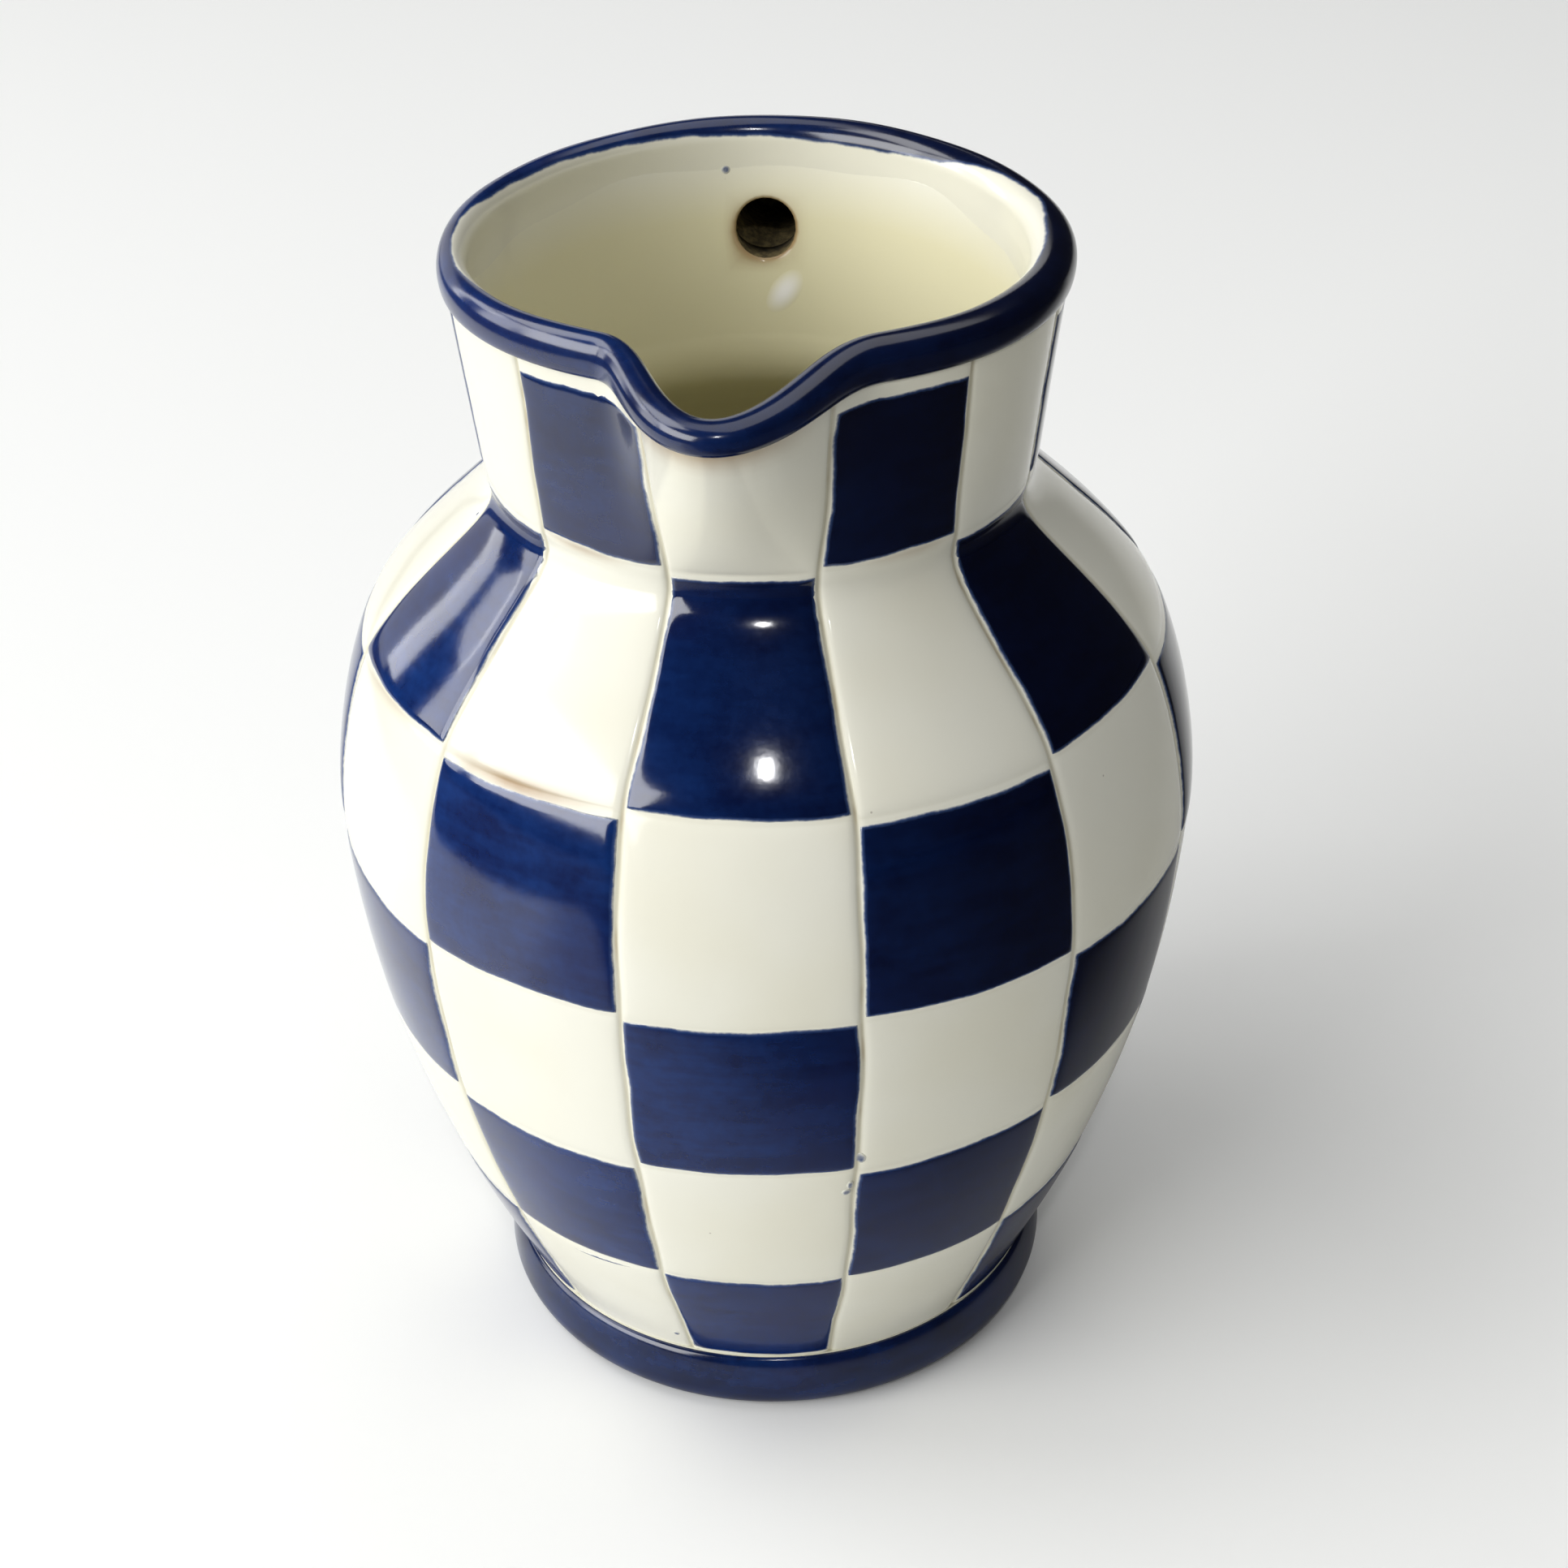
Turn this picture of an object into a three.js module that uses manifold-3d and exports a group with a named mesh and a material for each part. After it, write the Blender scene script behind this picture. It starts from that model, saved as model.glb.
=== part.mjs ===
// Faience jug: a round belly, a flared neck with a pulled pouring lip, a rolled rim, a foot and a hollow
// handle, with fields of cobalt glaze laid as a checkerboard on the cream wall.
// Millimetres and degrees, +Z up. The lip points to -Y and the handle to +Y.

import * as THREE from "three";
import { mergeVertices } from "three/addons/utils/BufferGeometryUtils.js";
import Module from "manifold-3d";

// Wall
const WALL = 4.6;

// Foot: the band, the standing ring under it and the floor of the jug
const FOOT_RADIUS = 48.2;
const FOOT_HEIGHT = 11.5;
const FOOT_EDGE = 4.2;
const FOOT_SHOULDER = 3.2;
const RING_WIDTH = 6.0;
const RECESS_DEPTH = 2.5;
const RECESS_SLOPE = 1.5;
const FLOOR_THICKNESS = 5.2;
const FLOOR_FILLET = 3.6;

// Rows of the check, counted down from the shoulder: height of each, and the radius at its upper score line
const ROW_E_HEIGHT = 27.2;
const ROW_D_HEIGHT = 30.1;
const ROW_C_HEIGHT = 32.0;
const ROW_B_HEIGHT = 32.2;
const ROW_A_HEIGHT = 28.4;
const BASE_RADIUS = 46.4;
const ROW_E_RADIUS = 57.5;
const ROW_D_RADIUS = 65.9;
const BELLY_RADIUS = 70.0;
const ROW_B_RADIUS = 63.6;
const NECK_LINE_RADIUS = 43.0;

// Concave turn from the shoulder into the neck, measured down from the neck's score line
const TURN_HEIGHT = 11.0;
const TURN_RADIUS = 47.0;
const WAIST_DROP = 4.4;
const WAIST_RADIUS = 42.3;

// Neck and rim
const NECK_HEIGHT = 28.2;
const NECK_TOP_RADIUS = 46.3;
const RIM_HEIGHT = 6.4;
const RIM_OVERHANG = 1.3;

// Pouring lip: pulled out and down between two sides that are pinched in, a little to one side of the middle
const LIP_REACH = 11.5;
const LIP_HALF_ANGLE = 28;
const LIP_SKEW = 3;
const LIP_DROP = 1.8;
const LIP_THINNING = 1.8;
const PINCH_DEPTH = 4.4;
const PINCH_HALF_ANGLE = 80;

// Check of cobalt glaze
const COLUMNS = 12;
const GLAZE_THICKNESS = 0.5;
const GLAZE_EDGE = 0.3;
const GLAZE_MARGIN = 0.9;
const NECK_LOW_MARGIN = 1.4;
const NECK_TOP_MARGIN = 2.2;

// Handle: where its middle line meets the wall, how far it is drawn out, and its section
const HANDLE_RIM_GAP = 1.6;
const HANDLE_LOWER_RISE = 16.0;
const HANDLE_UPPER_PULL = 60;
const HANDLE_UPPER_LIFT = 5;
const HANDLE_LOWER_PULL = 30;
const HANDLE_LOWER_LIFT = 3;
const HANDLE_WIDTH = 19;
const HANDLE_THICKNESS = 14;
const HANDLE_TAPER = 0.88;
const HANDLE_FLARE = 2.0;
const HANDLE_FLARE_LENGTH = 9;
const HANDLE_WALL = 3.4;
const DRAIN_DIAMETER = 9.5;

// Gap left where a piece is cut to the wall that it is luted to
const SEAT_CLEARANCE = 0.3;

// Facets
const BELLY_STEPS = 3;
const NECK_STEPS = 6;
const ROW_STEPS = 3;
const SHOULDER_STEPS = 6;
const NECK_ROW_STEPS = 3;
const INNER_STEPS = 9;
const QUARTER_STEPS = 4;
const LATHE_STEPS = 48;
const HANDLE_STEPS = 14;
const HANDLE_SIDES = 16;

// Heights of the score lines
const LINE_E = FOOT_HEIGHT + ROW_E_HEIGHT;
const LINE_D = LINE_E + ROW_D_HEIGHT;
const LINE_C = LINE_D + ROW_C_HEIGHT;
const LINE_B = LINE_C + ROW_B_HEIGHT;
const NECK_LINE = LINE_B + ROW_A_HEIGHT;
const NECK_TOP = NECK_LINE + NECK_HEIGHT;
const PITCH = (2 * Math.PI) / COLUMNS;

const wasm = await Module();
wasm.setup();

// A smooth radius by height through the given [height, radius] points, rising in height
function smoothProfile(points) {
  const last = points.length - 1;
  const slope = (a, b) => (b[1] - a[1]) / (b[0] - a[0]);
  const tangents = points.map((point, i) =>
    slope(points[Math.max(i - 1, 0)], points[Math.min(i + 1, last)]),
  );
  return (z) => {
    const next = points.findIndex((point) => point[0] > z);
    const i = next < 0 ? last - 1 : Math.max(next - 1, 0);
    const [z0, r0] = points[i];
    const [z1, r1] = points[i + 1];
    const span = z1 - z0;
    const t = (z - z0) / span;
    const rise = t * t * (3 - 2 * t);
    const leave = t * (1 - t) * (1 - t) * span * tangents[i];
    const arrive = t * t * (t - 1) * span * tangents[i + 1];
    return r0 + (r1 - r0) * rise + leave + arrive;
  };
}

const bellyRadius = smoothProfile([
  [FOOT_HEIGHT, BASE_RADIUS],
  [LINE_E, ROW_E_RADIUS],
  [LINE_D, ROW_D_RADIUS],
  [LINE_C, BELLY_RADIUS],
  [LINE_B, ROW_B_RADIUS],
  [NECK_LINE - TURN_HEIGHT, TURN_RADIUS],
  [NECK_LINE - WAIST_DROP, WAIST_RADIUS],
  [NECK_LINE, NECK_LINE_RADIUS],
]);

// Outer radius of the round wall at a height
function wallRadius(z) {
  if (z <= NECK_LINE) {
    return bellyRadius(z);
  }
  const share = (z - NECK_LINE) / NECK_HEIGHT;
  return NECK_LINE_RADIUS + (NECK_TOP_RADIUS - NECK_LINE_RADIUS) * share;
}

// 1 at the middle of a bump, falling to 0 at its half angle
function bump(phi, halfAngle) {
  const share = Math.abs(phi) / THREE.MathUtils.degToRad(halfAngle);
  return share < 1 ? Math.cos((share * Math.PI) / 2) ** 2 : 0;
}

// An angle brought into the half turn either side of the lip
function fromLip(phi) {
  return Math.atan2(Math.sin(phi), Math.cos(phi));
}

// How much of the lip's pull a place round the neck has, 1 at its tip, with the tip moved to one side
function lipPull(phi) {
  const turn = fromLip(phi);
  const share = Math.min(Math.abs(turn) / THREE.MathUtils.degToRad(LIP_HALF_ANGLE), 1);
  return bump(turn + THREE.MathUtils.degToRad(LIP_SKEW) * (1 - share * share), LIP_HALF_ANGLE);
}

// How much of the lip's shape a height has: none at the neck's score line, all at the rim
function lipShare(z) {
  return Math.max((z - NECK_LINE) / NECK_HEIGHT, 0);
}

// A point of the outer wall. The angle is counted from the lip, towards +X.
function wallPoint(phi, z) {
  const pulled = (LIP_REACH + PINCH_DEPTH) * lipPull(phi);
  const pinched = PINCH_DEPTH * bump(fromLip(phi), PINCH_HALF_ANGLE);
  const radius = wallRadius(z) + (pulled - pinched) * lipShare(z);
  const height = z - LIP_DROP * lipPull(phi) * lipShare(z);
  return new THREE.Vector3(radius * Math.sin(phi), -radius * Math.cos(phi), height);
}

// Small steps along the wall, for finding how it slopes
const STEP_ANGLE = 1e-3;
const STEP_HEIGHT = 1e-2;

// A point that stands off the outer wall, square to the wall
function liftedPoint(phi, z, lift) {
  const along = wallPoint(phi + STEP_ANGLE, z).sub(wallPoint(phi - STEP_ANGLE, z));
  const up = wallPoint(phi, z + STEP_HEIGHT).sub(wallPoint(phi, z - STEP_HEIGHT));
  const outward = along.cross(up).normalize();
  return wallPoint(phi, z).addScaledVector(outward, lift);
}

// A point that stands off the outer wall at its own height, square to the wall's plan
function levelPoint(phi, z, lift) {
  const along = wallPoint(phi + STEP_ANGLE, z).sub(wallPoint(phi - STEP_ANGLE, z));
  const outward = new THREE.Vector3(along.y, -along.x, 0).normalize();
  return wallPoint(phi, z).addScaledVector(outward, lift);
}

// Heights of a row of the check: its score lines, the field's edges and the steps between them
function rowHeights({ low, high, steps, lowMargin = GLAZE_MARGIN, topMargin = GLAZE_MARGIN }) {
  const from = low + lowMargin;
  const to = high - topMargin;
  const inside = Array.from({ length: steps + 1 }, (_, i) => from + ((to - from) * i) / steps);
  return [low, ...inside, high];
}

// Angles of a column of the check at a height: its score lines, the field's edges and the steps between
function columnAngles(column, z, steps) {
  const start = (column - 0.5) * PITCH;
  const margin = GLAZE_MARGIN / wallRadius(z);
  const inside = Array.from(
    { length: steps + 1 },
    (_, i) => start + margin + ((PITCH - 2 * margin) * i) / steps,
  );
  return [start, ...inside];
}

// A closed ring of angles at a height, column by column
function ringAngles(z, steps) {
  return Array.from({ length: COLUMNS }, (_, column) => columnAngles(column, z, steps)).flat();
}

// Two triangles of a quad, split from its first corner to its third
function pushQuad(index, a, b, c, d) {
  index.push(a, b, c, a, c, d);
}

function geometryOf(points, index) {
  const geometry = new THREE.BufferGeometry().setFromPoints(points);
  geometry.setIndex(index);
  geometry.computeVertexNormals();
  return geometry;
}

// A band of quads between two rings of equal count. They are split from the low ring, or from the high ring.
function pushBand(index, low, high, count, splitFromHigh = false) {
  for (let i = 0; i < count; i++) {
    const j = (i + 1) % count;
    if (splitFromHigh) {
      pushQuad(index, high + i, low + i, low + j, high + j);
    } else {
      pushQuad(index, low + i, low + j, high + j, high + i);
    }
  }
}

// A closed skin through rings of equal count: each ring joins the next, and the last joins the first
function loopOfRings(rings, splitFromHigh = false) {
  const count = rings[0].length;
  const index = [];
  rings.forEach((ring, k) => {
    pushBand(index, k * count, ((k + 1) % rings.length) * count, count, splitFromHigh);
  });
  return geometryOf(rings.flat(), index);
}

// A closed rod through rings of equal count, with a flat face at each end
function rodOfRings(rings) {
  const count = rings[0].length;
  const last = (rings.length - 1) * count;
  const index = [];
  for (let k = 0; k < rings.length - 1; k++) {
    pushBand(index, k * count, (k + 1) * count, count);
  }
  for (let i = 1; i < count - 1; i++) {
    index.push(0, i + 1, i);
    index.push(last, last + i, last + i + 1);
  }
  return geometryOf(rings.flat(), index);
}

// A closed thin solid between a back sheet and a front sheet, both grids of points by row and column
function sheetSolid(back, front) {
  const rows = back.length;
  const columns = back[0].length;
  const at = (row, column) => row * columns + column;
  const frontStart = rows * columns;
  const index = [];
  for (let row = 0; row < rows - 1; row++) {
    for (let column = 0; column < columns - 1; column++) {
      const a = at(row, column);
      const b = at(row, column + 1);
      const c = at(row + 1, column + 1);
      const d = at(row + 1, column);
      pushQuad(index, a, d, c, b);
      pushQuad(index, a + frontStart, b + frontStart, c + frontStart, d + frontStart);
    }
  }
  const acrossSteps = Array.from({ length: columns - 1 }, (_, i) => i);
  const upSteps = Array.from({ length: rows - 1 }, (_, i) => i);
  const edge = [
    ...acrossSteps.map((i) => at(0, i)),
    ...upSteps.map((i) => at(i, columns - 1)),
    ...acrossSteps.map((i) => at(rows - 1, columns - 1 - i)),
    ...upSteps.map((i) => at(rows - 1 - i, 0)),
  ];
  edge.forEach((here, i) => {
    const next = edge[(i + 1) % edge.length];
    pushQuad(index, here, next, next + frontStart, here + frontStart);
  });
  return geometryOf([...back.flat(), ...front.flat()], index);
}

const SAME_POINT = 1e-4;

// A geometry as a solid that can be cut
function solidOf(geometry) {
  const bare = geometry.clone();
  bare.deleteAttribute("normal");
  bare.deleteAttribute("uv");
  const merged = mergeVertices(bare, SAME_POINT);
  return new wasm.Manifold(
    new wasm.Mesh({
      numProp: 3,
      vertProperties: merged.attributes.position.array,
      triVerts: new Uint32Array(merged.index.array),
    }),
  );
}

function geometryOfSolid(solid) {
  const { vertProperties, triVerts } = solid.getMesh();
  const geometry = new THREE.BufferGeometry();
  geometry.setAttribute("position", new THREE.BufferAttribute(vertProperties, 3));
  geometry.setIndex(new THREE.BufferAttribute(triVerts, 1));
  geometry.computeVertexNormals();
  return geometry;
}

// A profile of [radius, height] points turned round the jug's axis
function turned(points) {
  return new THREE.LatheGeometry(points, LATHE_STEPS).rotateX(Math.PI / 2);
}

// Finishes
const cream = () => new THREE.MeshStandardMaterial({ color: 0xe6dfc4, roughness: 0.2, metalness: 0 });
const cobalt = () => new THREE.MeshStandardMaterial({ color: 0x1b2358, roughness: 0.15, metalness: 0 });

const jug = new THREE.Group();

function addPiece(name, geometry, material) {
  const mesh = new THREE.Mesh(geometry, material);
  mesh.name = name;
  jug.add(mesh);
}

const BELLY_ROWS = [
  { name: "e", low: FOOT_HEIGHT, high: LINE_E, steps: ROW_STEPS },
  { name: "d", low: LINE_E, high: LINE_D, steps: ROW_STEPS },
  { name: "c", low: LINE_D, high: LINE_C, steps: ROW_STEPS },
  { name: "b", low: LINE_C, high: LINE_B, steps: ROW_STEPS },
  { name: "a", low: LINE_B, high: NECK_LINE, steps: SHOULDER_STEPS },
];
const NECK_ROW = {
  name: "neck",
  low: NECK_LINE,
  high: NECK_TOP,
  steps: NECK_ROW_STEPS,
  lowMargin: NECK_LOW_MARGIN,
  topMargin: NECK_TOP_MARGIN,
};

// Heights of all the given rows, from the lowest score line to the highest
function stackedHeights(rows) {
  const heights = rows.flatMap(rowHeights);
  return heights.filter((z, i) => i === 0 || z > heights[i - 1]);
}

// Radius of the belly's inner face: one wall inside the outer face, measured square to it, and measured
// level at both ends, where the belly meets the foot and the neck
function innerRadius(z) {
  const slope = (wallRadius(z + STEP_HEIGHT) - wallRadius(z - STEP_HEIGHT)) / (2 * STEP_HEIGHT);
  const ends = Math.min((z - FOOT_HEIGHT) / WALL, (NECK_LINE - z) / WALL, 1);
  return wallRadius(z) - WALL * (1 + (Math.hypot(1, slope) - 1) * ends);
}

function bellyGeometry() {
  const outer = stackedHeights(BELLY_ROWS).map((z) =>
    ringAngles(z, BELLY_STEPS).map((phi) => wallPoint(phi, z)),
  );
  const inner = Array.from({ length: INNER_STEPS + 1 }, (_, i) => {
    const z = NECK_LINE + ((FOOT_HEIGHT - NECK_LINE) * i) / INNER_STEPS;
    const radius = innerRadius(z);
    return ringAngles(z, BELLY_STEPS).map(
      (phi) => new THREE.Vector3(radius * Math.sin(phi), -radius * Math.cos(phi), z),
    );
  });
  return loopOfRings([...outer, ...inner]);
}

function neckGeometry() {
  const heights = stackedHeights([NECK_ROW]);
  const outer = heights.map((z) => ringAngles(z, NECK_STEPS).map((phi) => wallPoint(phi, z)));
  const inner = heights.map((z) => ringAngles(z, NECK_STEPS).map((phi) => levelPoint(phi, z, -WALL)));
  const shell = solidOf(loopOfRings([...outer, ...inner.reverse()]));
  const reach = 4 * WALL;
  const drain = new THREE.CylinderGeometry(DRAIN_DIAMETER / 2, DRAIN_DIAMETER / 2, reach, HANDLE_SIDES);
  const root = handleRoots().upper;
  drain.translate(root.x, root.y - WALL / 2, root.z);
  return geometryOfSolid(shell.subtract(solidOf(drain)));
}

// A path draws an arc with two points to a division
const ARC_DIVISIONS = QUARTER_STEPS / 2;

// The bead's section: straight on the inner face, rolled over the top and back under the overhang
function rimSection() {
  const half = RIM_HEIGHT / 2;
  const section = new THREE.Path();
  const middle = (RIM_OVERHANG - WALL) / 2;
  section.moveTo(0, 0);
  section.absellipse(0, half, RIM_OVERHANG, half, -Math.PI / 2, 0, false);
  section.absellipse(middle, half, (RIM_OVERHANG + WALL) / 2, half, 0, Math.PI / 2, false);
  section.absellipse(middle, half, (RIM_OVERHANG + WALL) / 2, half, Math.PI / 2, Math.PI, false);
  section.lineTo(-WALL, 0);
  const points = section.getPoints(ARC_DIVISIONS);
  return points.filter((point, i) => i === 0 || point.distanceTo(points[i - 1]) > STEP_HEIGHT);
}

// The rolled rim lies on the neck's top edge, point for point, and is drawn thinner over the lip
function rimGeometry() {
  const angles = ringAngles(NECK_TOP, NECK_STEPS);
  const rings = rimSection().map(({ x: lift, y: height }) =>
    angles.map((phi) => {
      const point = levelPoint(phi, NECK_TOP, lift);
      point.z += height * (1 - (LIP_THINNING / RIM_HEIGHT) * lipPull(phi));
      return point;
    }),
  );
  return loopOfRings(rings, true);
}

// The foot is turned in one piece: recess, standing ring, band with rounded edges, and the floor inside
function footGeometry() {
  const profile = new THREE.Path();
  const ringInside = FOOT_RADIUS - FOOT_EDGE - RING_WIDTH;
  const floor = RECESS_DEPTH + FLOOR_THICKNESS;
  const wallInside = BASE_RADIUS - WALL;
  const fillet = Math.min(FLOOR_FILLET, FOOT_HEIGHT - floor);
  profile.moveTo(0, RECESS_DEPTH);
  profile.lineTo(ringInside - RECESS_SLOPE, RECESS_DEPTH);
  profile.lineTo(ringInside, 0);
  profile.lineTo(FOOT_RADIUS - FOOT_EDGE, 0);
  profile.absarc(FOOT_RADIUS - FOOT_EDGE, FOOT_EDGE, FOOT_EDGE, -Math.PI / 2, 0, false);
  profile.absellipse(
    BASE_RADIUS,
    FOOT_HEIGHT - FOOT_SHOULDER,
    FOOT_RADIUS - BASE_RADIUS,
    FOOT_SHOULDER,
    0,
    Math.PI / 2,
    false,
  );
  profile.lineTo(wallInside, FOOT_HEIGHT);
  profile.absarc(wallInside - fillet, floor + fillet, fillet, 0, -Math.PI / 2, true);
  profile.lineTo(0, floor);
  return turned(profile.getPoints(ARC_DIVISIONS));
}

// Where the handle's middle line meets the outer wall, under the rim and at the back of the belly
function handleRoots() {
  const upperZ = NECK_TOP - HANDLE_RIM_GAP - HANDLE_FLARE - HANDLE_THICKNESS / 2;
  const lowerZ = LINE_C + HANDLE_LOWER_RISE;
  return { upper: wallPoint(Math.PI, upperZ), lower: wallPoint(Math.PI, lowerZ) };
}

// The handle is drawn out from the neck, turned down and led back to the belly
function handlePath() {
  const { upper, lower } = handleRoots();
  const drawn = new THREE.CubicBezierCurve3(
    upper,
    upper.clone().add(new THREE.Vector3(0, HANDLE_UPPER_PULL, HANDLE_UPPER_LIFT)),
    lower.clone().add(new THREE.Vector3(0, HANDLE_LOWER_PULL, HANDLE_LOWER_LIFT)),
    lower,
  );
  const path = new THREE.CurvePath();
  const into = new THREE.Vector3(0, -WALL, 0);
  path.add(new THREE.LineCurve3(upper.clone().add(into), upper));
  path.add(drawn);
  path.add(new THREE.LineCurve3(lower, lower.clone().add(into)));
  return path;
}

// An oval ring of the handle at a share of its path, drawn in from its face by inset
function handleRing(path, share, inset) {
  const centre = path.getPointAt(share);
  const ahead = path.getTangentAt(share);
  const across = new THREE.Vector3(1, 0, 0);
  const outward = new THREE.Vector3().crossVectors(ahead, across).normalize();
  const length = path.getLength();
  const fromRoot = Math.max(Math.min(share, 1 - share) * length - WALL, 0);
  const flare = HANDLE_FLARE * Math.max(1 - fromRoot / HANDLE_FLARE_LENGTH, 0) ** 2;
  const taper = 1 + (HANDLE_TAPER - 1) * share;
  const halfWidth = (HANDLE_WIDTH * taper) / 2 + flare - inset;
  const halfThickness = (HANDLE_THICKNESS * taper) / 2 + flare - inset;
  return Array.from({ length: HANDLE_SIDES }, (_, i) => {
    const turn = (2 * Math.PI * i) / HANDLE_SIDES;
    return centre
      .clone()
      .addScaledVector(across, halfWidth * Math.cos(turn))
      .addScaledVector(outward, halfThickness * Math.sin(turn));
  });
}

// The round body as one plain solid, grown by the clearance, for cutting the handle's ends to the wall
function bodyCutter() {
  const heights = stackedHeights([...BELLY_ROWS, NECK_ROW]);
  const face = heights.map((z) => new THREE.Vector2(wallRadius(z) + SEAT_CLEARANCE, z));
  return solidOf(turned([new THREE.Vector2(0, FOOT_HEIGHT), ...face, new THREE.Vector2(0, NECK_TOP)]));
}

// Rings from one end of the handle's path to the other, drawn in from its face by inset
function handleRings(inset) {
  const path = handlePath();
  return Array.from({ length: HANDLE_STEPS + 1 }, (_, i) => handleRing(path, i / HANDLE_STEPS, inset));
}

function handleGeometry() {
  const tube = solidOf(loopOfRings([...handleRings(0), ...handleRings(HANDLE_WALL).reverse()]));
  return geometryOfSolid(tube.subtract(bodyCutter()));
}

const handleCutter = solidOf(rodOfRings(handleRings(-SEAT_CLEARANCE)));

// One field of cobalt glaze: seated on the wall, rounded down to a thin edge and kept clear of the handle
function fieldGeometry(row, column, steps) {
  const heights = rowHeights(row).slice(1, -1);
  const grid = heights.map((z, i) => {
    const angles = columnAngles(column, z, steps).slice(1);
    return angles.map((phi, j) => {
      const onEdge = i === 0 || j === 0 || i === heights.length - 1 || j === angles.length - 1;
      return { phi, z, lift: onEdge ? GLAZE_EDGE : GLAZE_THICKNESS };
    });
  });
  const back = grid.map((line) => line.map(({ phi, z }) => wallPoint(phi, z)));
  const front = grid.map((line) => line.map(({ phi, z, lift }) => liftedPoint(phi, z, lift)));
  return geometryOfSolid(solidOf(sheetSolid(back, front)).subtract(handleCutter));
}

// Every second field of a row is cobalt, and each row starts one column on from the row below
function addFields(row, rowNumber, steps) {
  for (let column = rowNumber % 2; column < COLUMNS; column += 2) {
    addPiece("cobalt_" + row.name + "_" + column, fieldGeometry(row, column, steps), cobalt());
  }
}

addPiece("foot", footGeometry(), cobalt());
addPiece("belly", bellyGeometry(), cream());
addPiece("neck", neckGeometry(), cream());
addPiece("rim", rimGeometry(), cobalt());
addPiece("handle", handleGeometry(), cobalt());
BELLY_ROWS.forEach((row, rowNumber) => addFields(row, rowNumber, BELLY_STEPS));
addFields(NECK_ROW, BELLY_ROWS.length, NECK_STEPS);

// The origin is under the middle of the whole jug, handle included, on the surface that it stands on
const box = new THREE.Box3().setFromObject(jug);
const middle = box.getCenter(new THREE.Vector3());
jug.position.set(-middle.x, -middle.y, -box.min.z);

export default jug;
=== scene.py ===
"""A faience jug with a checked cobalt glaze: its finished surfaces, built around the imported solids.

Lengths are in millimetres in the classes that shape the jug, with the jug's axis at x = y = 0, and in metres
everywhere else. Angles round the jug run from the middle of the lip towards +X.
"""

import logging
import math
from collections.abc import Mapping, Sequence
from dataclasses import dataclass, field, replace
from enum import Enum, IntEnum
from functools import cached_property

import bmesh
import bpy
import numpy as np
from mathutils import Matrix, Vector


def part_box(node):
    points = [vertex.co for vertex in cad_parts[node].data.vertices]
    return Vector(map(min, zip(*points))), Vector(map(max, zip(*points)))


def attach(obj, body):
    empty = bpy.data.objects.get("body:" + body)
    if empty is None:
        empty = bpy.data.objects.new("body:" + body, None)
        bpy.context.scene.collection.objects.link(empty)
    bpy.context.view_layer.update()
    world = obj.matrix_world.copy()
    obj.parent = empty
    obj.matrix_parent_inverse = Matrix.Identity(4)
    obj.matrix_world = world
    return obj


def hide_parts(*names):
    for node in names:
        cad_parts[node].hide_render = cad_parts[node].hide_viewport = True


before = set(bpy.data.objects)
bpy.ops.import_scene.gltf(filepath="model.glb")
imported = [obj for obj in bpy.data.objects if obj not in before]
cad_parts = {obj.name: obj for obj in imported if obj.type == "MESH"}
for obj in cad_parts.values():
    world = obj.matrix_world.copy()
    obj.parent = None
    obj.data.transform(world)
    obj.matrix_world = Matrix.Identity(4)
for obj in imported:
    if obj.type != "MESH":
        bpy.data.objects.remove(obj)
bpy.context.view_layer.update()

BODY = "root"
MM = 0.001

# Wavers drawn by hand: how much of them is slow and quick, and how far each next line's waves are moved on.
SLOW_SHARE, QUICK_SHARE = 0.6, 0.4
SLOW_SHIFT, QUICK_SHIFT = 2.4, 4.1
QUICKER = 2.3

# A Mix node's colours by their place among its sockets.
MIX_SHARE, MIX_FIRST, MIX_SECOND, MIX_RESULT = 0, 6, 7, 2

Array = np.ndarray
Color = tuple[float, float, float]
Settings = Mapping[str, object]

log = logging.getLogger("jug")


class Slot(Enum):
    """Material slots of the record."""

    CREAM = "cream_glaze"
    TRIM = "cobalt_trim"
    FIELD = "cobalt_field"


class Mark(Enum):
    """Values that a piece's mesh carries at its points for its finish to read."""

    SCORE = "score"
    STAIN = "stain"
    # The inner face's yellower tone, brought in with depth as painted shade.
    INSIDE = "inside"
    EDGE = "edge"


class Coat(IntEnum):
    """Which of a piece's finishes a face takes, by its place in the piece's list of finishes."""

    OUTER = 0
    HOLLOW = 1
    STANDING = 2


class Side(Enum):
    """Sides of a field, numbered so that no two waver alike."""

    LEFT = 0
    RIGHT = 1
    LOW = 2
    HIGH = 3


# Shapes by formula


def bump(turn: Array, half_angle: float) -> Array:
    """A smooth hill: 1 at its middle, falling to 0 at its half angle.

    Args:
        turn: angles from the hill's middle, in radians.
        half_angle: where the hill ends, in degrees.

    Returns:
        The hill's height at each angle.
    """
    share = np.minimum(np.abs(turn) / math.radians(half_angle), 1.0)
    return np.cos(share * math.pi / 2) ** 2


def turn_from(phi: Array, angle: float) -> Array:
    """Turns from an angle given in degrees, each the short way round, in radians."""
    off = phi - math.radians(angle)
    return np.arctan2(np.sin(off), np.cos(off))


def bell(distance: Array, width: float) -> Array:
    """1 at no distance, fading over about the given width."""
    return np.exp(-((distance / width) ** 2))


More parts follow.
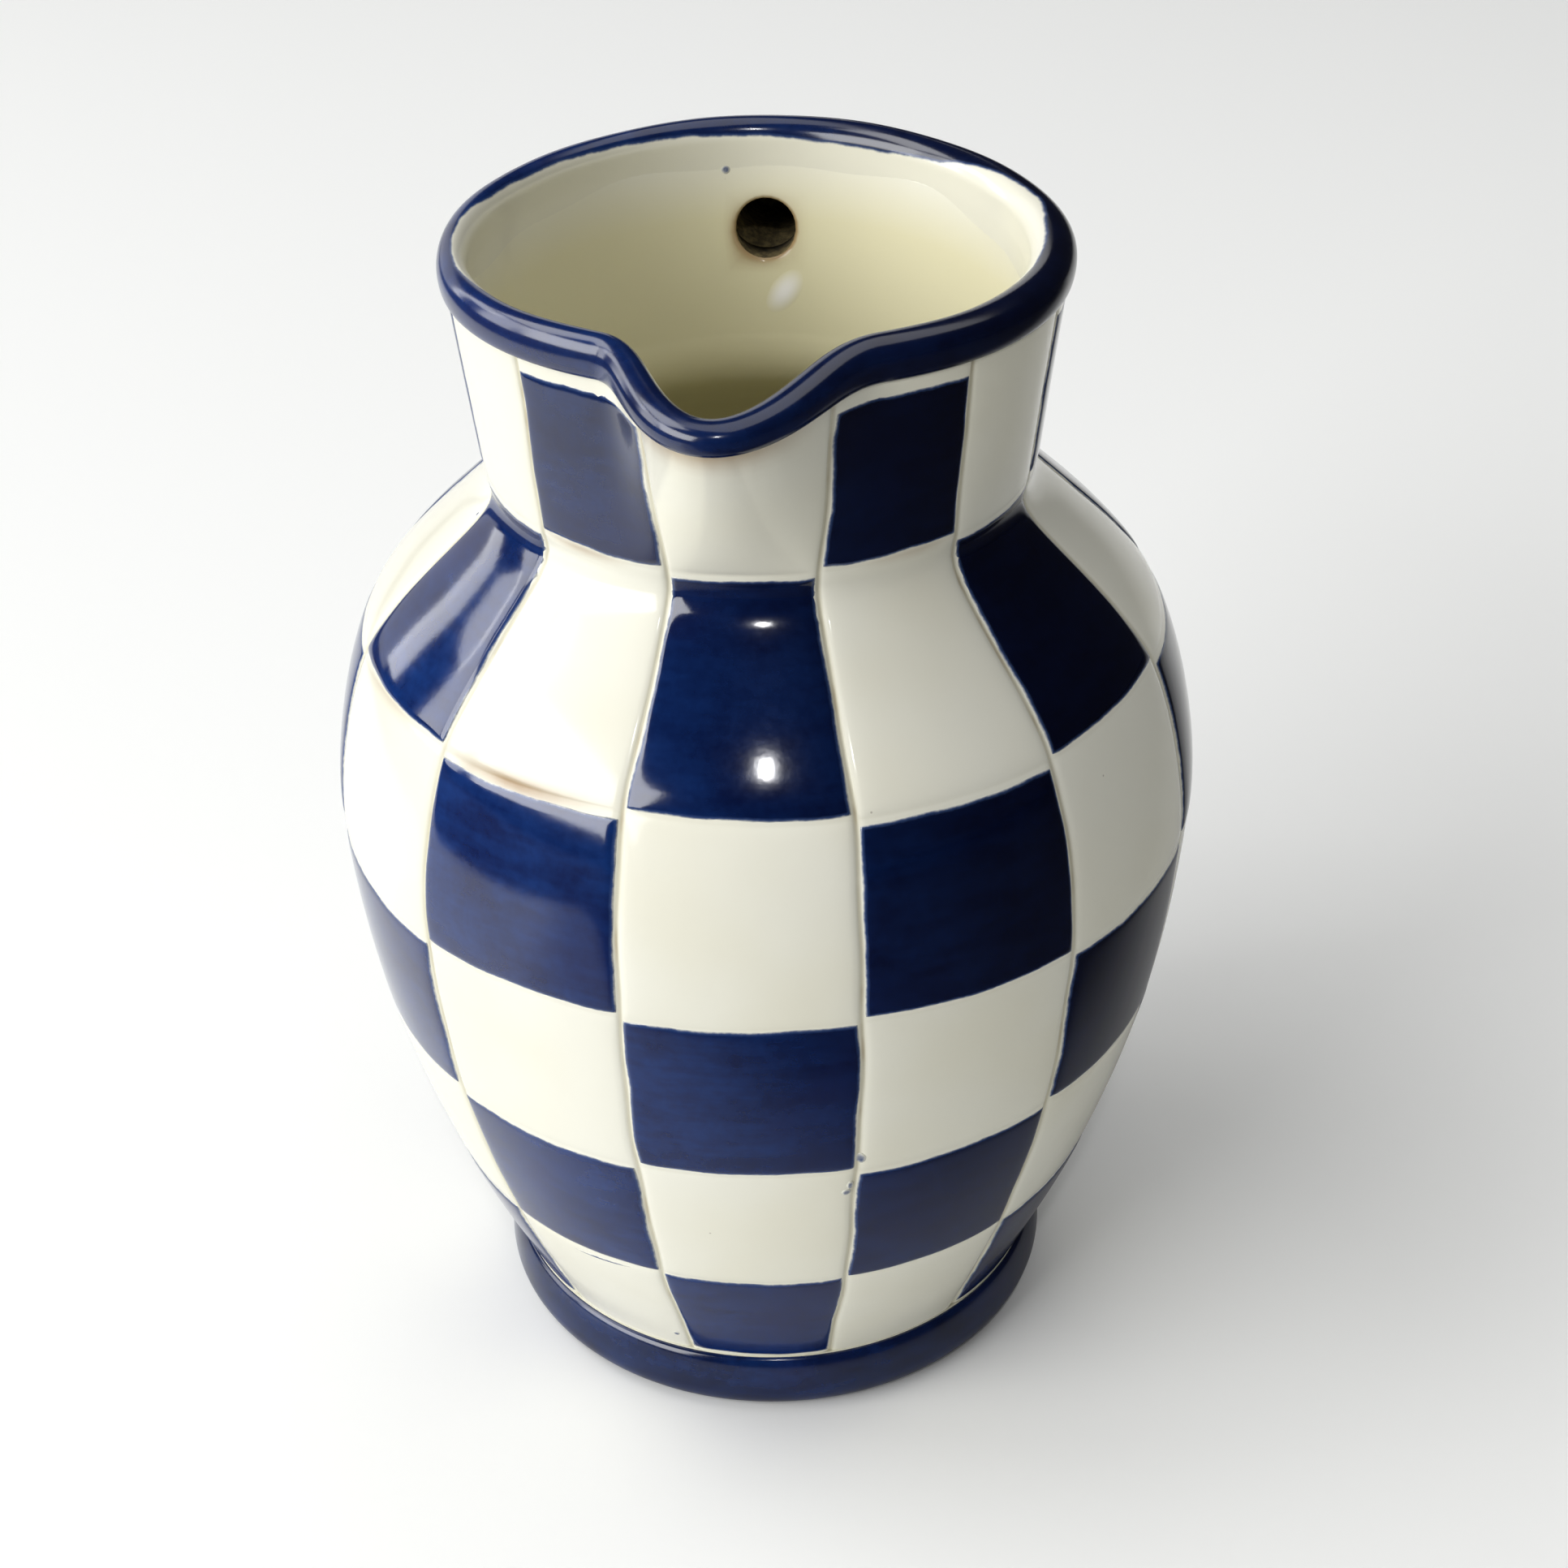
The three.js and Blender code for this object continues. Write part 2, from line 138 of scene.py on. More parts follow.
def sway(position: Array, number: Array | float, wavelength: float) -> Array:
    """The slow waver of a line drawn by hand, between -1 and 1.

    Args:
        position: how far along the line each point is.
        number: which line it is, so that no two waver alike.
        wavelength: about how far it is from one wave to the next.

    Returns:
        The waver at each point.
    """
    turn = 2 * math.pi * position / wavelength
    slow = SLOW_SHARE * np.sin(turn + SLOW_SHIFT * number)
    return slow + QUICK_SHARE * np.sin(QUICKER * turn + QUICK_SHIFT * number)


def round_sway(angle: Array, number: float, waves: int) -> Array:
    """A waver that closes on itself round the jug, between -1 and 1.

    Args:
        angle: angles round the jug, in radians.
        number: which line it is.
        waves: how many slow waves go round.

    Returns:
        The waver at each angle.
    """
    slow = SLOW_SHARE * np.sin(waves * angle + SLOW_SHIFT * number)
    return slow + QUICK_SHARE * np.sin((2 * waves + 1) * angle + QUICK_SHIFT * number)


def spread_shares(steps: int, crowding: float) -> Array:
    """Shares from 0 to just under 1 that crowd towards both ends.

    Args:
        steps: how many shares there are.
        crowding: 0 for even steps, up to 1 for steps that vanish at the ends.

    Returns:
        The shares, without the 1 that starts the next stretch.
    """
    even = np.arange(steps) / steps
    return even - crowding * np.sin(2 * math.pi * even) / (2 * math.pi)


def round_turns(count: int) -> Array:
    """Angles of points at even steps round a circle, in radians."""
    return 2 * math.pi * np.arange(count) / count


def level_circle(radius: float, phi: Array, z: float) -> Array:
    """Points of a level circle round the jug's axis, at the given angles."""
    return np.stack([radius * np.sin(phi), -radius * np.cos(phi), np.full_like(phi, z)], axis=-1)


def walked_along(line: Array) -> Array:
    """How far along a line of points each point is."""
    return np.concatenate([[0.0], np.cumsum(np.linalg.norm(np.diff(line, axis=0), axis=1))])


@dataclass(frozen=True)
class JugWall:
    """The outer wall as a surface by angle and height.

    The profile is a smooth curve through the given heights and radii, up to the score line under the neck.
    Above it the neck widens evenly.
    """

    line_heights: tuple[float, ...] = (11.5, 38.7, 68.8, 100.8, 133.0, 161.4, 189.6)
    profile_points: tuple[tuple[float, float], ...] = (
        (11.5, 46.4), (38.7, 57.5), (68.8, 65.9), (100.8, 69.9), (117.0, 68.5), (133.0, 63.6),
        (141.0, 57.6), (150.4, 48.2), (154.9, 43.85), (157.9, 42.35), (161.4, 43.0),
    )
    neck_top_radius: float = 46.3
    thickness: float = 4.6
    lip_reach: float = 11.5
    lip_half_angle: float = 28.0
    lip_skew: float = 3.0
    lip_drop: float = 1.8
    pinch_depth: float = 4.4
    pinch_half_angle: float = 80.0
    back_reach: float = 2.4
    back_half_angle: float = 65.0
    mouth_shift: float = 1.2
    step: float = 1e-3

    @cached_property
    def lines(self) -> Array:
        """Heights of the score lines, from the foot's edge to the neck's top edge."""
        return np.array(self.line_heights)

    @property
    def foot_height(self) -> float:
        """Height of the foot's edge."""
        return self.line_heights[0]

    @property
    def neck_line(self) -> float:
        """Height of the score line under the neck."""
        return self.line_heights[-2]

    @property
    def neck_top(self) -> float:
        """Height of the neck's top edge, away from the lip."""
        return self.line_heights[-1]

    @property
    def neck_height(self) -> float:
        """Height of the neck from its score line to its top edge."""
        return self.neck_top - self.neck_line

    @cached_property
    def profile(self) -> tuple[Array, Array, Array]:
        """Heights, radii and slopes of the points that the belly's curve goes through."""
        heights, radii = np.array(self.profile_points).T
        before = np.maximum(np.arange(len(heights)) - 1, 0)
        after = np.minimum(np.arange(len(heights)) + 1, len(heights) - 1)
        slopes = (radii[after] - radii[before]) / (heights[after] - heights[before])
        return heights, radii, slopes

    def radius(self, z: Array) -> Array:
        """Radius of the round wall, without the lip, at each height."""
        heights, radii, slopes = self.profile
        low = np.clip(np.searchsorted(heights, z, side="right") - 1, 0, len(heights) - 2)
        span = heights[low + 1] - heights[low]
        share = (z - heights[low]) / span
        rise = share**2 * (3 - 2 * share)
        leave = share * (1 - share) ** 2 * span * slopes[low]
        arrive = share**2 * (share - 1) * span * slopes[low + 1]
        belly = radii[low] + (radii[low + 1] - radii[low]) * rise + leave + arrive
        flare = (self.neck_top_radius - radii[-1]) / self.neck_height
        return np.where(z <= self.neck_line, belly, radii[-1] + flare * (z - self.neck_line))

    def slope(self, z: Array) -> Array:
        """How fast the radius grows with height, at each height."""
        return (self.radius(z + self.step) - self.radius(z - self.step)) / (2 * self.step)

    def neck_share(self, z: Array) -> Array:
        """How far up the neck each height is, from 0 at its score line to 1 at its edge."""
        return np.maximum((z - self.neck_line) / self.neck_height, 0.0)

    def lip_pull(self, phi: Array) -> Array:
        """How much of the lip's pull each angle has, with the lip's tip a little to one side."""
        turn = turn_from(phi, 0.0)
        share = np.minimum(np.abs(turn) / math.radians(self.lip_half_angle), 1.0)
        return bump(turn + math.radians(self.lip_skew) * (1 - share**2), self.lip_half_angle)

    def point(self, phi: Array, z: Array) -> Array:
        """Points of the outer wall.

        Args:
            phi: angles from the middle of the lip, in radians.
            z: heights, before the lip is drawn down.

        Returns:
            The points, with x, y and z along the last axis.
        """
        share = self.neck_share(z)
        pull = self.lip_pull(phi)
        pinch = self.pinch_depth * bump(turn_from(phi, 0.0), self.pinch_half_angle)
        back = self.back_reach * bump(turn_from(phi, 180.0), self.back_half_angle)
        radius = self.radius(z) + ((self.lip_reach + self.pinch_depth) * pull - pinch + back) * share
        height = z - self.lip_drop * pull * share
        return np.stack([radius * np.sin(phi), -radius * np.cos(phi), height], axis=-1)

    def normal(self, phi: Array, z: Array) -> Array:
        """Directions square to the outer wall, pointing out."""
        along = self.point(phi + self.step, z) - self.point(phi - self.step, z)
        up = self.point(phi, z + self.step) - self.point(phi, z - self.step)
        outward = np.cross(along, up)
        return outward / np.linalg.norm(outward, axis=-1, keepdims=True)

    def level(self, phi: Array, z: Array, lift: Array | float) -> Array:
        """Points that stand off the outer wall at their own height, square to the wall's plan.

        Args:
            phi: angles from the middle of the lip, in radians.
            z: heights, before the lip is drawn down.
            lift: how far out each point stands.

        Returns:
            The points.
        """
        along = self.point(phi + self.step, z) - self.point(phi - self.step, z)
        outward = np.stack([along[..., 1], -along[..., 0], np.zeros_like(along[..., 0])], axis=-1)
        outward /= np.linalg.norm(outward, axis=-1, keepdims=True)
        return self.point(phi, z) + outward * np.asarray(lift)[..., None]

    def inner(self, phi: Array, z: Array) -> Array:
        """Points of the inner face, one wall inside the outer face, with the mouth a little to one side."""
        shift = self.mouth_shift * np.sin(phi) * np.minimum(self.neck_share(z), 1.0)
        return self.level(phi, z, -self.thickness * np.hypot(1.0, self.slope(z)) - shift)


@dataclass(frozen=True)
class ScoredCheck:
    """The grid of lines scored into the wall by hand, and the soft swell of the wall between them.

    A place on it is a column number and a row number with their fractions. Whole columns are the upright
    lines, with column 0 centred on the lip, and whole rows are the level lines, counted up from the foot.
    """

    wall: JugWall
    columns: int = 12
    line_waver: float = 0.3
    line_wavelength: float = 46.0
    line_waves: int = 4
    score_width: float = 0.45
    score_depth: float = 0.36
    pillow_width: float = 1.7
    pillow_depth: float = 0.16
    level_share: float = 0.3
    swell: float = 0.1
    swell_waves: int = 3
    swell_length: float = 90.0
    set_in: float = 0.15
    neck_lean: tuple[tuple[int, float], ...] = ((0, -1.5), (1, 2.0), (2, 1.8), (11, -2.0))

    @property
    def pitch(self) -> float:
        """Angle from one upright line to the next, in radians."""
        return 2 * math.pi / self.columns

    def row_height(self, row: Array) -> Array:
        """Height between the level lines of each row."""
        return np.diff(self.wall.lines)[row]

    def line_height(self, line: Array, phi: Array) -> Array:
        """Height of a level line at each angle; the foot's and the rim's edges don't waver."""
        drawn = (line > 0) & (line < len(self.wall.lines) - 1)
        waver = self.line_waver * round_sway(phi, line, self.line_waves)
        return self.wall.lines[line] + np.where(drawn, waver, 0.0)

    def line_angle(self, line: Array, z: Array) -> Array:
        """Angle of an upright line at each height; beside the lip the lines lean apart up the neck."""
        leans = np.zeros(self.columns)
        for number, lean in self.neck_lean:
            leans[number] = math.radians(lean)
        waver = self.line_waver * sway(z, line % self.columns, self.line_wavelength)
        lean = leans[line % self.columns] * self.wall.neck_share(z)
        return (line - 0.5) * self.pitch + waver / self.wall.radius(z) + lean

    def place(self, column: Array, row: Array) -> tuple[Array, Array]:
        """Angle and height of places on the check.

        Args:
            column: column numbers with their fractions.
            row: row numbers with their fractions.

        Returns:
            The angles in radians, and the heights.
        """
        left = np.floor(column).astype(int)
        low = np.minimum(np.floor(row).astype(int), len(self.wall.lines) - 2)
        rough = (column - 0.5) * self.pitch
        up = row - low
        z = (1 - up) * self.line_height(low, rough) + up * self.line_height(low + 1, rough)
        across = column - left
        phi = (1 - across) * self.line_angle(left, z) + across * self.line_angle(left + 1, z)
        return phi, z

    def gaps(self, column: Array, row: Array, z: Array) -> tuple[Array, Array]:
        """Distances to the nearest upright line and to the nearest level line.

        Args:
            column: column numbers with their fractions.
            row: row numbers with their fractions.
            z: heights of the same places.

        Returns:
            Both distances, measured along the wall.
        """
        across = column - np.floor(column)
        upright = np.minimum(across, 1 - across) * self.pitch * self.wall.radius(z)
        last = len(self.wall.lines) - 2
        low = np.minimum(np.floor(row).astype(int), last)
        up = row - low
        below = np.where(low > 0, up, 1.0)
        above = np.where(low < last, 1 - up, 1.0)
        level = np.minimum(below, above) * self.row_height(low) * np.hypot(1.0, self.wall.slope(z))
        return upright, level

    def surface(self, column: Array, row: Array, lift: Array | float = 0.0) -> tuple[Array, Array]:
        """Points of the scored wall.

        Args:
            column: column numbers with their fractions.
            row: row numbers with their fractions.
            lift: how far each point stands off the wall.

        Returns:
            The points, and how deep in a score line each one is, from 0 to 1.
        """
        phi, z = self.place(column, row)
        upright, level = self.gaps(column, row, z)
        level_score = self.level_share * bell(level, self.score_width)
        score = np.maximum(bell(upright, self.score_width), level_score)
        beside = 1 - bell(upright, self.pillow_width)
        hollow = 1 - beside * (1 - self.level_share * bell(level, self.pillow_width))
        uneven = round_sway(phi, 1.0, self.swell_waves) * sway(z, 2.0, self.swell_length)
        swell = self.swell * (uneven - 1)
        depth = self.score_depth * score + self.pillow_depth * hollow
        off = np.asarray(lift) + swell - depth - self.set_in
        return self.wall.point(phi, z) + self.wall.normal(phi, z) * off[..., None], score


# Meshes


def jug_axis() -> Array:
    """Where the jug's axis meets the surface it stands on, in metres."""
    low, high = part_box("foot")
    return np.array([(low.x + high.x) / 2, (low.y + high.y) / 2, 0.0])


AXIS = jug_axis()


def add_object(name: str, data: bpy.types.ID) -> bpy.types.Object:
    """Makes an object of a mesh, a lamp or a camera and links it to the scene."""
    made = bpy.data.objects.new(name, data)
    bpy.context.scene.collection.objects.link(made)
    return made


@dataclass
class Skin:
    """Points, faces and marks of one piece while it is laid up, in millimetres."""

    points: list[Array] = field(default_factory=list)
    faces: list[tuple[int, ...]] = field(default_factory=list)
    coats: list[int] = field(default_factory=list)
    marks: dict[Mark, list[Array]] = field(default_factory=dict)
    count: int = 0

    def ring(self, points: Array, **marks: Array | float) -> Array:
        """Adds a row of points with their marks, by the marks' names in lower case.

        Args:
            points: the points, one to a row.
            marks: a value for each point, or one for them all.

        Returns:
            The points' numbers.
        """
        for mark in Mark:
            value = np.broadcast_to(marks.get(mark.value, 0.0), len(points))
            self.marks.setdefault(mark, []).append(value)
        self.points.append(points)
        numbers = np.arange(self.count, self.count + len(points))
        self.count += len(points)
        return numbers

    def face(self, corners: Sequence[int], coat: Coat = Coat.OUTER) -> None:
        """Adds one face with its finish."""
        self.faces.append(tuple(int(corner) for corner in corners))
        self.coats.append(int(coat))

    def band(self, low: Array, high: Array, closed: bool = True, coat: Coat = Coat.OUTER,
             skip: Sequence[int] = ()) -> None:
        """Joins two rows of points by quads.

        Args:
            low: numbers of the first row's points.
            high: numbers of the second row's points.
            closed: whether the rows are rings.
            coat: the faces' finish.
            skip: quads that are left out, by their place in the row.
        """
        last = len(low) if closed else len(low) - 1
        for here in range(last):
            if here not in skip:
                after = (here + 1) % len(low)
                self.face((low[here], low[after], high[after], high[here]), coat)

    def bands(self, rows: Sequence[Array], closed: bool = True) -> None:
        """Joins each row of points to the next one by quads."""
        for here, after in zip(rows, rows[1:]):
            self.band(here, after, closed)

    def build(self, name: str, materials: Sequence[bpy.types.Material]) -> bpy.types.Object:
        """Makes the piece's object, closed and facing out, with smooth faces.

        Args:
            name: the object's name.
            materials: the piece's finishes, in the order of its coats.

        Returns:
            The object, linked to the scene.
        """
        mesh = bpy.data.meshes.new(name)
        points = np.concatenate(self.points) * MM + AXIS
        mesh.from_pydata(points.tolist(), [], self.faces)
        for mark, values in self.marks.items():
            held = mesh.attributes.new(mark.value, "FLOAT", "POINT")
            held.data.foreach_set("value", np.concatenate(values).astype(np.float32))
        for material in materials:
            mesh.materials.append(material)
        mesh.polygons.foreach_set("material_index", self.coats)
        work = bmesh.new()
        work.from_mesh(mesh)
        bmesh.ops.recalc_face_normals(work, faces=work.faces)
        work.to_mesh(mesh)
        work.free()
        mesh.shade_smooth()
        return add_object(name, mesh)


def settle(piece: bpy.types.Object, slot: Slot, *nodes: str) -> bpy.types.Object:
    """Lets a piece ride on the jug and stand for the given solids.

    Args:
        piece: the piece's object.
        slot: the record's slot; not used.
        nodes: names of the solids that the piece replaces.

    Returns:
        The same piece.
    """
    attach(piece, BODY)
    if nodes:
        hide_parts(*nodes)
    log.info("%s: %d faces", piece.name, len(piece.data.polygons))
    return piece


# Shader expressions


class Socket:
    """A shader socket that holds a number and can stand in an expression."""

    def __init__(self, shader: "Shader", link: bpy.types.NodeSocket | None) -> None:
        """Keeps the socket and the shader that it belongs to."""
        self.shader = shader
        self.link = link

    def _math(self, operation: str, first: "Value", second: "Value") -> "Socket":
        """Adds a Math node for an operation on two values."""
        return self.shader.node("ShaderNodeMath", {"operation": operation}, {0: first, 1: second})

    def __add__(self, other: "Value") -> "Socket":
        """The sum."""
        return self._math("ADD", self, other)

    __radd__ = __add__

    def __sub__(self, other: "Value") -> "Socket":
        """The difference."""
        return self._math("SUBTRACT", self, other)

    def __rsub__(self, other: "Value") -> "Socket":
        """The difference, with this socket taken away."""
        return self._math("SUBTRACT", other, self)

    def __mul__(self, other: "Value") -> "Socket":
        """The product."""
        return self._math("MULTIPLY", self, other)

    __rmul__ = __mul__

    def between(self, low: float, high: float) -> "Socket":
        """A smooth step from 0 at low to 1 at high.

        Args:
            low: the value that gives 0.
            high: the value that gives 1.

        Returns:
            The step.
        """
        values = {"Value": self, "From Min": low, "From Max": high}
        return self.shader.node("ShaderNodeMapRange", {"interpolation_type": "SMOOTHSTEP"}, values)


Value = Socket | float | Sequence[float]


class Shader:
    """A node tree that is built node by node."""

    def __init__(self, tree: bpy.types.NodeTree) -> None:
        """Starts from an empty tree."""
        self.tree = tree
        tree.nodes.clear()

    @classmethod
    def of_material(cls, name: str) -> tuple["Shader", bpy.types.Material]:
        """A new material and the shader that fills it."""
        material = bpy.data.materials.new(name)
        material.use_nodes = True
        return cls(material.node_tree), material

    def node(self, kind: str, settings: Settings | None = None,
             values: Mapping[str | int, Value] | None = None, out: str | int = 0) -> Socket:
        """Adds a node.

        Args:
            kind: the node's type.
            settings: its properties, which are set first.
            values: numbers, colours or sockets for its inputs.
            out: which of its outputs is wanted.

        Returns:
            The wanted output, or an empty socket where the node has none.
        """
        made = self.tree.nodes.new(kind)
        for name, setting in (settings or {}).items():
            setattr(made, name, setting)
        for key, value in (values or {}).items():
            if isinstance(value, Socket):
                self.tree.links.new(value.link, made.inputs[key])
            else:
                made.inputs[key].default_value = value
        return Socket(self, made.outputs[out] if made.outputs else None)

    @cached_property
    def place(self) -> Socket:
        """The place on the object, in metres."""
        return self.node("ShaderNodeTexCoord", out="Object")

    def turned_place(self, degrees: float) -> Socket:
        """The place on the object, turned about the upright axis."""
        rotation = (0.0, 0.0, math.radians(degrees))
        return self.node("ShaderNodeMapping", values={"Vector": self.place, "Rotation": rotation})

    def part(self, vector: Socket, axis: str) -> Socket:
        """One of a vector's three numbers, by its axis."""
        return self.node("ShaderNodeSeparateXYZ", values={0: vector}, out=axis)

    def noise(self, size: float, detail: float = 2.0, roughness: float = 0.5, flat: float = 1.0) -> Socket:
        """Cloudy noise between 0 and 1.

        Args:
            size: how large its clouds are, in millimetres.
            detail: how many finer layers it has.
            roughness: how strong those are.
            flat: how many times wider than high they are.

        Returns:
            The noise.
        """
        place = self.node("ShaderNodeMapping", values={"Vector": self.place, "Scale": (1.0, 1.0, flat)})
        values = {"Vector": place, "Scale": 1 / (size * MM), "Detail": detail, "Roughness": roughness}
        return self.node("ShaderNodeTexNoise", values=values, out="Fac")

    def dots(self, spacing: float, radius: float) -> Socket:
        """Small round dots strewn over the surface: 1 in a dot and 0 between them.

        Args:
            spacing: about how far apart they are, in millimetres.
            radius: how large the largest are, in millimetres.

        Returns:
            The dots.
        """
        values = {"Vector": self.place, "Scale": 1 / (spacing * MM), "Randomness": 1.0}
        away = self.node("ShaderNodeTexVoronoi", values=values, out="Distance")
        return 1 - away.between(0.5 * radius / spacing, radius / spacing)

    def mark(self, mark: Mark) -> Socket:
        """A value that the mesh carries."""
        settings = {"attribute_type": "GEOMETRY", "attribute_name": mark.value}
        return self.node("ShaderNodeAttribute", settings, out="Fac")

    def mix(self, share: Value, first: Value, second: Value) -> Socket:
        """A colour between two colours.

        Args:
            share: 0 for the first colour, 1 for the second.
            first: a colour.
            second: a colour.

        Returns:
            The mixed colour.
        """
        first, second = ((*value, 1.0) if isinstance(value, tuple) else value for value in (first, second))
        values = {MIX_SHARE: share, MIX_FIRST: first, MIX_SECOND: second}
        return self.node("ShaderNodeMix", {"data_type": "RGBA"}, values, MIX_RESULT)

    def bumped(self, height: Socket, depth: float) -> Socket:
        """A normal bent by a height.

        Args:
            height: the height, from 0 to 1.
            depth: how deep 1 is, in millimetres.

        Returns:
            The normal.
        """
        values = {"Height": height, "Distance": depth * MM, "Strength": 1.0}
        return self.node("ShaderNodeBump", values=values)

    def surface(self, values: Mapping[str, Value]) -> None:
        """Ends the tree with a Principled surface of the given values."""
        body = self.node("ShaderNodeBsdfPrincipled", values=values)
        self.node("ShaderNodeOutputMaterial", values={"Surface": body})


# Finishes


@dataclass(frozen=True)
class CreamGlaze:
    """A clear glossy glaze over pale clay, yellowed and browned where it gathers in the score lines, with a
    yellower tone inside that deepens down the neck as painted shade.
    """

    name: str = "cream_glaze"
    pale: Color = (0.8, 0.79, 0.69)
    warm: Color = (0.77, 0.752, 0.63)
    # Inner colour: a yellower glaze tone that, with its mark, darkens down the neck as painted shade.
    inside: Color = (0.77, 0.73, 0.5)
    gathered: Color = (0.42, 0.38, 0.23)
    burnt: Color = (0.3, 0.175, 0.065)
    fleck: Color = (0.3, 0.26, 0.2)
    cloud_size: float = 34.0
    stain_size: float = 9.0
    fleck_spacing: float = 11.0
    fleck_radius: float = 0.22
    fleck_strength: float = 0.6
    burnt_strength: float = 0.3
    ripple_size: float = 5.0
    ripple_depth: float = 0.02
    roughness: float = 0.1
    shine: float = 0.4

    def material(self) -> bpy.types.Material:
        """Makes the finish."""
        shader, material = Shader.of_material(self.name)
        patch = shader.noise(self.stain_size, 3.0)
        color = shader.mix(shader.noise(self.cloud_size, 2.0).between(0.35, 0.7), self.pale, self.warm)
        # Painted shade inside: the inner colour comes in from the rim downwards.
        color = shader.mix(shader.mark(Mark.INSIDE), color, self.inside)
        line = shader.mark(Mark.SCORE)
        color = shader.mix(line.between(0.1, 1.0) * (0.3 + 0.5 * patch), color, self.gathered)
        scorched = line.between(0.45, 1.0) * patch.between(0.48, 0.72)
        color = shader.mix(scorched * self.burnt_strength, color, self.burnt)
        stain = shader.mark(Mark.STAIN)
        color = shader.mix(stain * (0.5 + 0.6 * patch), color, self.burnt)
        flecks = shader.dots(self.fleck_spacing, self.fleck_radius)
        color = shader.mix(flecks * self.fleck_strength, color, self.fleck)
        ripple = shader.noise(self.ripple_size, 1.0)
        shader.surface({
            "Base Color": color,
            "Roughness": self.roughness + 0.06 * patch + 0.2 * line,
            "Specular IOR Level": self.shine,
            "Normal": shader.bumped(ripple, self.ripple_depth),
        })
        return material


@dataclass(frozen=True)
class CobaltGlaze:
    """A cobalt glaze, laid on by brush: nearly black where it is thick and clear blue where it is thin.

    It is painted darker high up and on the right of the lip and lighter towards the left and the foot:
    painted shade away from the window, lighter on the lit side. At its edges it runs out on the cream.
    """

    name: str = "cobalt_glaze"
    # Colours of the painted shaded side, then of the lit side; each side is cloudy from the brush.
    shaded_dark: Color = (0.0003, 0.0009, 0.007)
    shaded_light: Color = (0.0006, 0.0022, 0.015)
    lit_dark: Color = (0.0015, 0.008, 0.06)
    lit_light: Color = (0.005, 0.03, 0.15)
    violet: Color = (0.009, 0.012, 0.075)
    violet_strength: float = 0.6
    fringe: Color = (0.05, 0.09, 0.22)
    # Cream under the cobalt, with a little of the painted inner shade so the bead's inner side meets the
    # wall inside.
    under: Color = (0.78, 0.765, 0.65)
    # How fast the painted shade deepens towards +X and upwards.
    shade_to_right: float = 8.5
    shade_upwards: float = 3.1
    cloud_size: float = 13.0
    stroke_size: float = 11.0
    stroke_flatness: float = 4.5
    mottle_size: float = 1.8
    ragged: float = 0.5
    fringe_width: float = 0.9
    ripple_size: float = 1.0
    ripple_depth: float = 0.004
    roughness: float = 0.07
    shine: float = 0.75

    def material(self) -> bpy.types.Material:
        """Makes the finish."""
        shader, material = Shader.of_material(self.name)
        mottle = shader.noise(self.mottle_size, 3.0, 0.65)
        cloud = shader.noise(self.cloud_size, 3.0, 0.6)
        stroke = shader.noise(self.stroke_size, 2.0, 0.55, self.stroke_flatness)
        # Painted shade: the blue darkens towards +X, away from the window, and upwards, and is lighter on
        # the lit left.
        lean = self.shade_to_right * shader.part(shader.place, "X")
        thick = (lean + self.shade_upwards * shader.part(shader.place, "Z")).between(-0.1, 0.9)
        light = (0.4 * cloud.between(0.32, 0.68) + 0.35 * stroke.between(0.35, 0.65)
                 + 0.25 * mottle.between(0.3, 0.7))
        lit_blue = shader.mix(light, self.lit_dark, self.lit_light)
        reddish = shader.noise(2.1 * self.cloud_size, 2.0).between(0.5, 0.75)
        lit_blue = shader.mix(self.violet_strength * reddish, lit_blue, self.violet)
        blue = shader.mix(thick, lit_blue, shader.mix(light, self.shaded_dark, self.shaded_light))
        edge = shader.mark(Mark.EDGE) + self.ragged * (mottle - 0.5)
        blue = shader.mix(1 - edge.between(0.05, self.fringe_width), blue, self.fringe)
        color = shader.mix(edge.between(-0.05, 0.45), self.under, blue)
        ripple = shader.noise(self.ripple_size, 1.0)
        shader.surface({
            "Base Color": color,
            "Roughness": self.roughness + 0.06 * mottle,
            "Specular IOR Level": self.shine,
            "Normal": shader.bumped(ripple, self.ripple_depth),
        })
        return material


@dataclass(frozen=True)
class BareClay:
    """The pale fired clay of the standing ring, where the glaze was wiped off."""

    name: str = "bare_clay"
    clay: Color = (0.56, 0.45, 0.31)
    dust: Color = (0.33, 0.26, 0.18)
    grain_size: float = 1.1
    grain_depth: float = 0.08
    roughness: float = 0.75

    def material(self) -> bpy.types.Material:
        """Makes the finish."""
        shader, material = Shader.of_material(self.name)
        grain = shader.noise(self.grain_size, 4.0, 0.65)
        shader.surface({
            "Base Color": shader.mix(grain.between(0.35, 0.7), self.dust, self.clay),
            "Roughness": self.roughness + 0.15 * grain,
            "Normal": shader.bumped(grain, self.grain_depth),
        })
        return material


# Pieces of the jug


@dataclass(frozen=True)
class DrainHole:
    """The round hole at the back of the neck that drained the handle's hollow when it was cast.

    The inner face leads into it by rings at shares of the way from the block that is cut out of the wall's
    grid, and then over a soft edge, given as additions to its radius and depths.
    """

    angle: float = 181.8
    height: float = 178.6
    radius: float = 4.75
    block_angle: float = 11.5
    block_half_height: float = 8.3
    lead_in: tuple[float, ...] = (0.35, 0.65, 0.85, 1.0)
    edge_round: float = 0.7
    soft_edge: tuple[tuple[float, float], ...] = ((0.3, 0.12), (0.08, 0.4), (0.0, 0.9))
    stain: float = 0.9
    least_smear: float = 0.3
    smear_turn: float = 0.9


@dataclass(frozen=True)
class Scorch:
    """A stretch of a level score line that came out of the kiln brown."""

    line: int
    angle: float
    half_angle: float
    strength: float
    width: float = 0.9


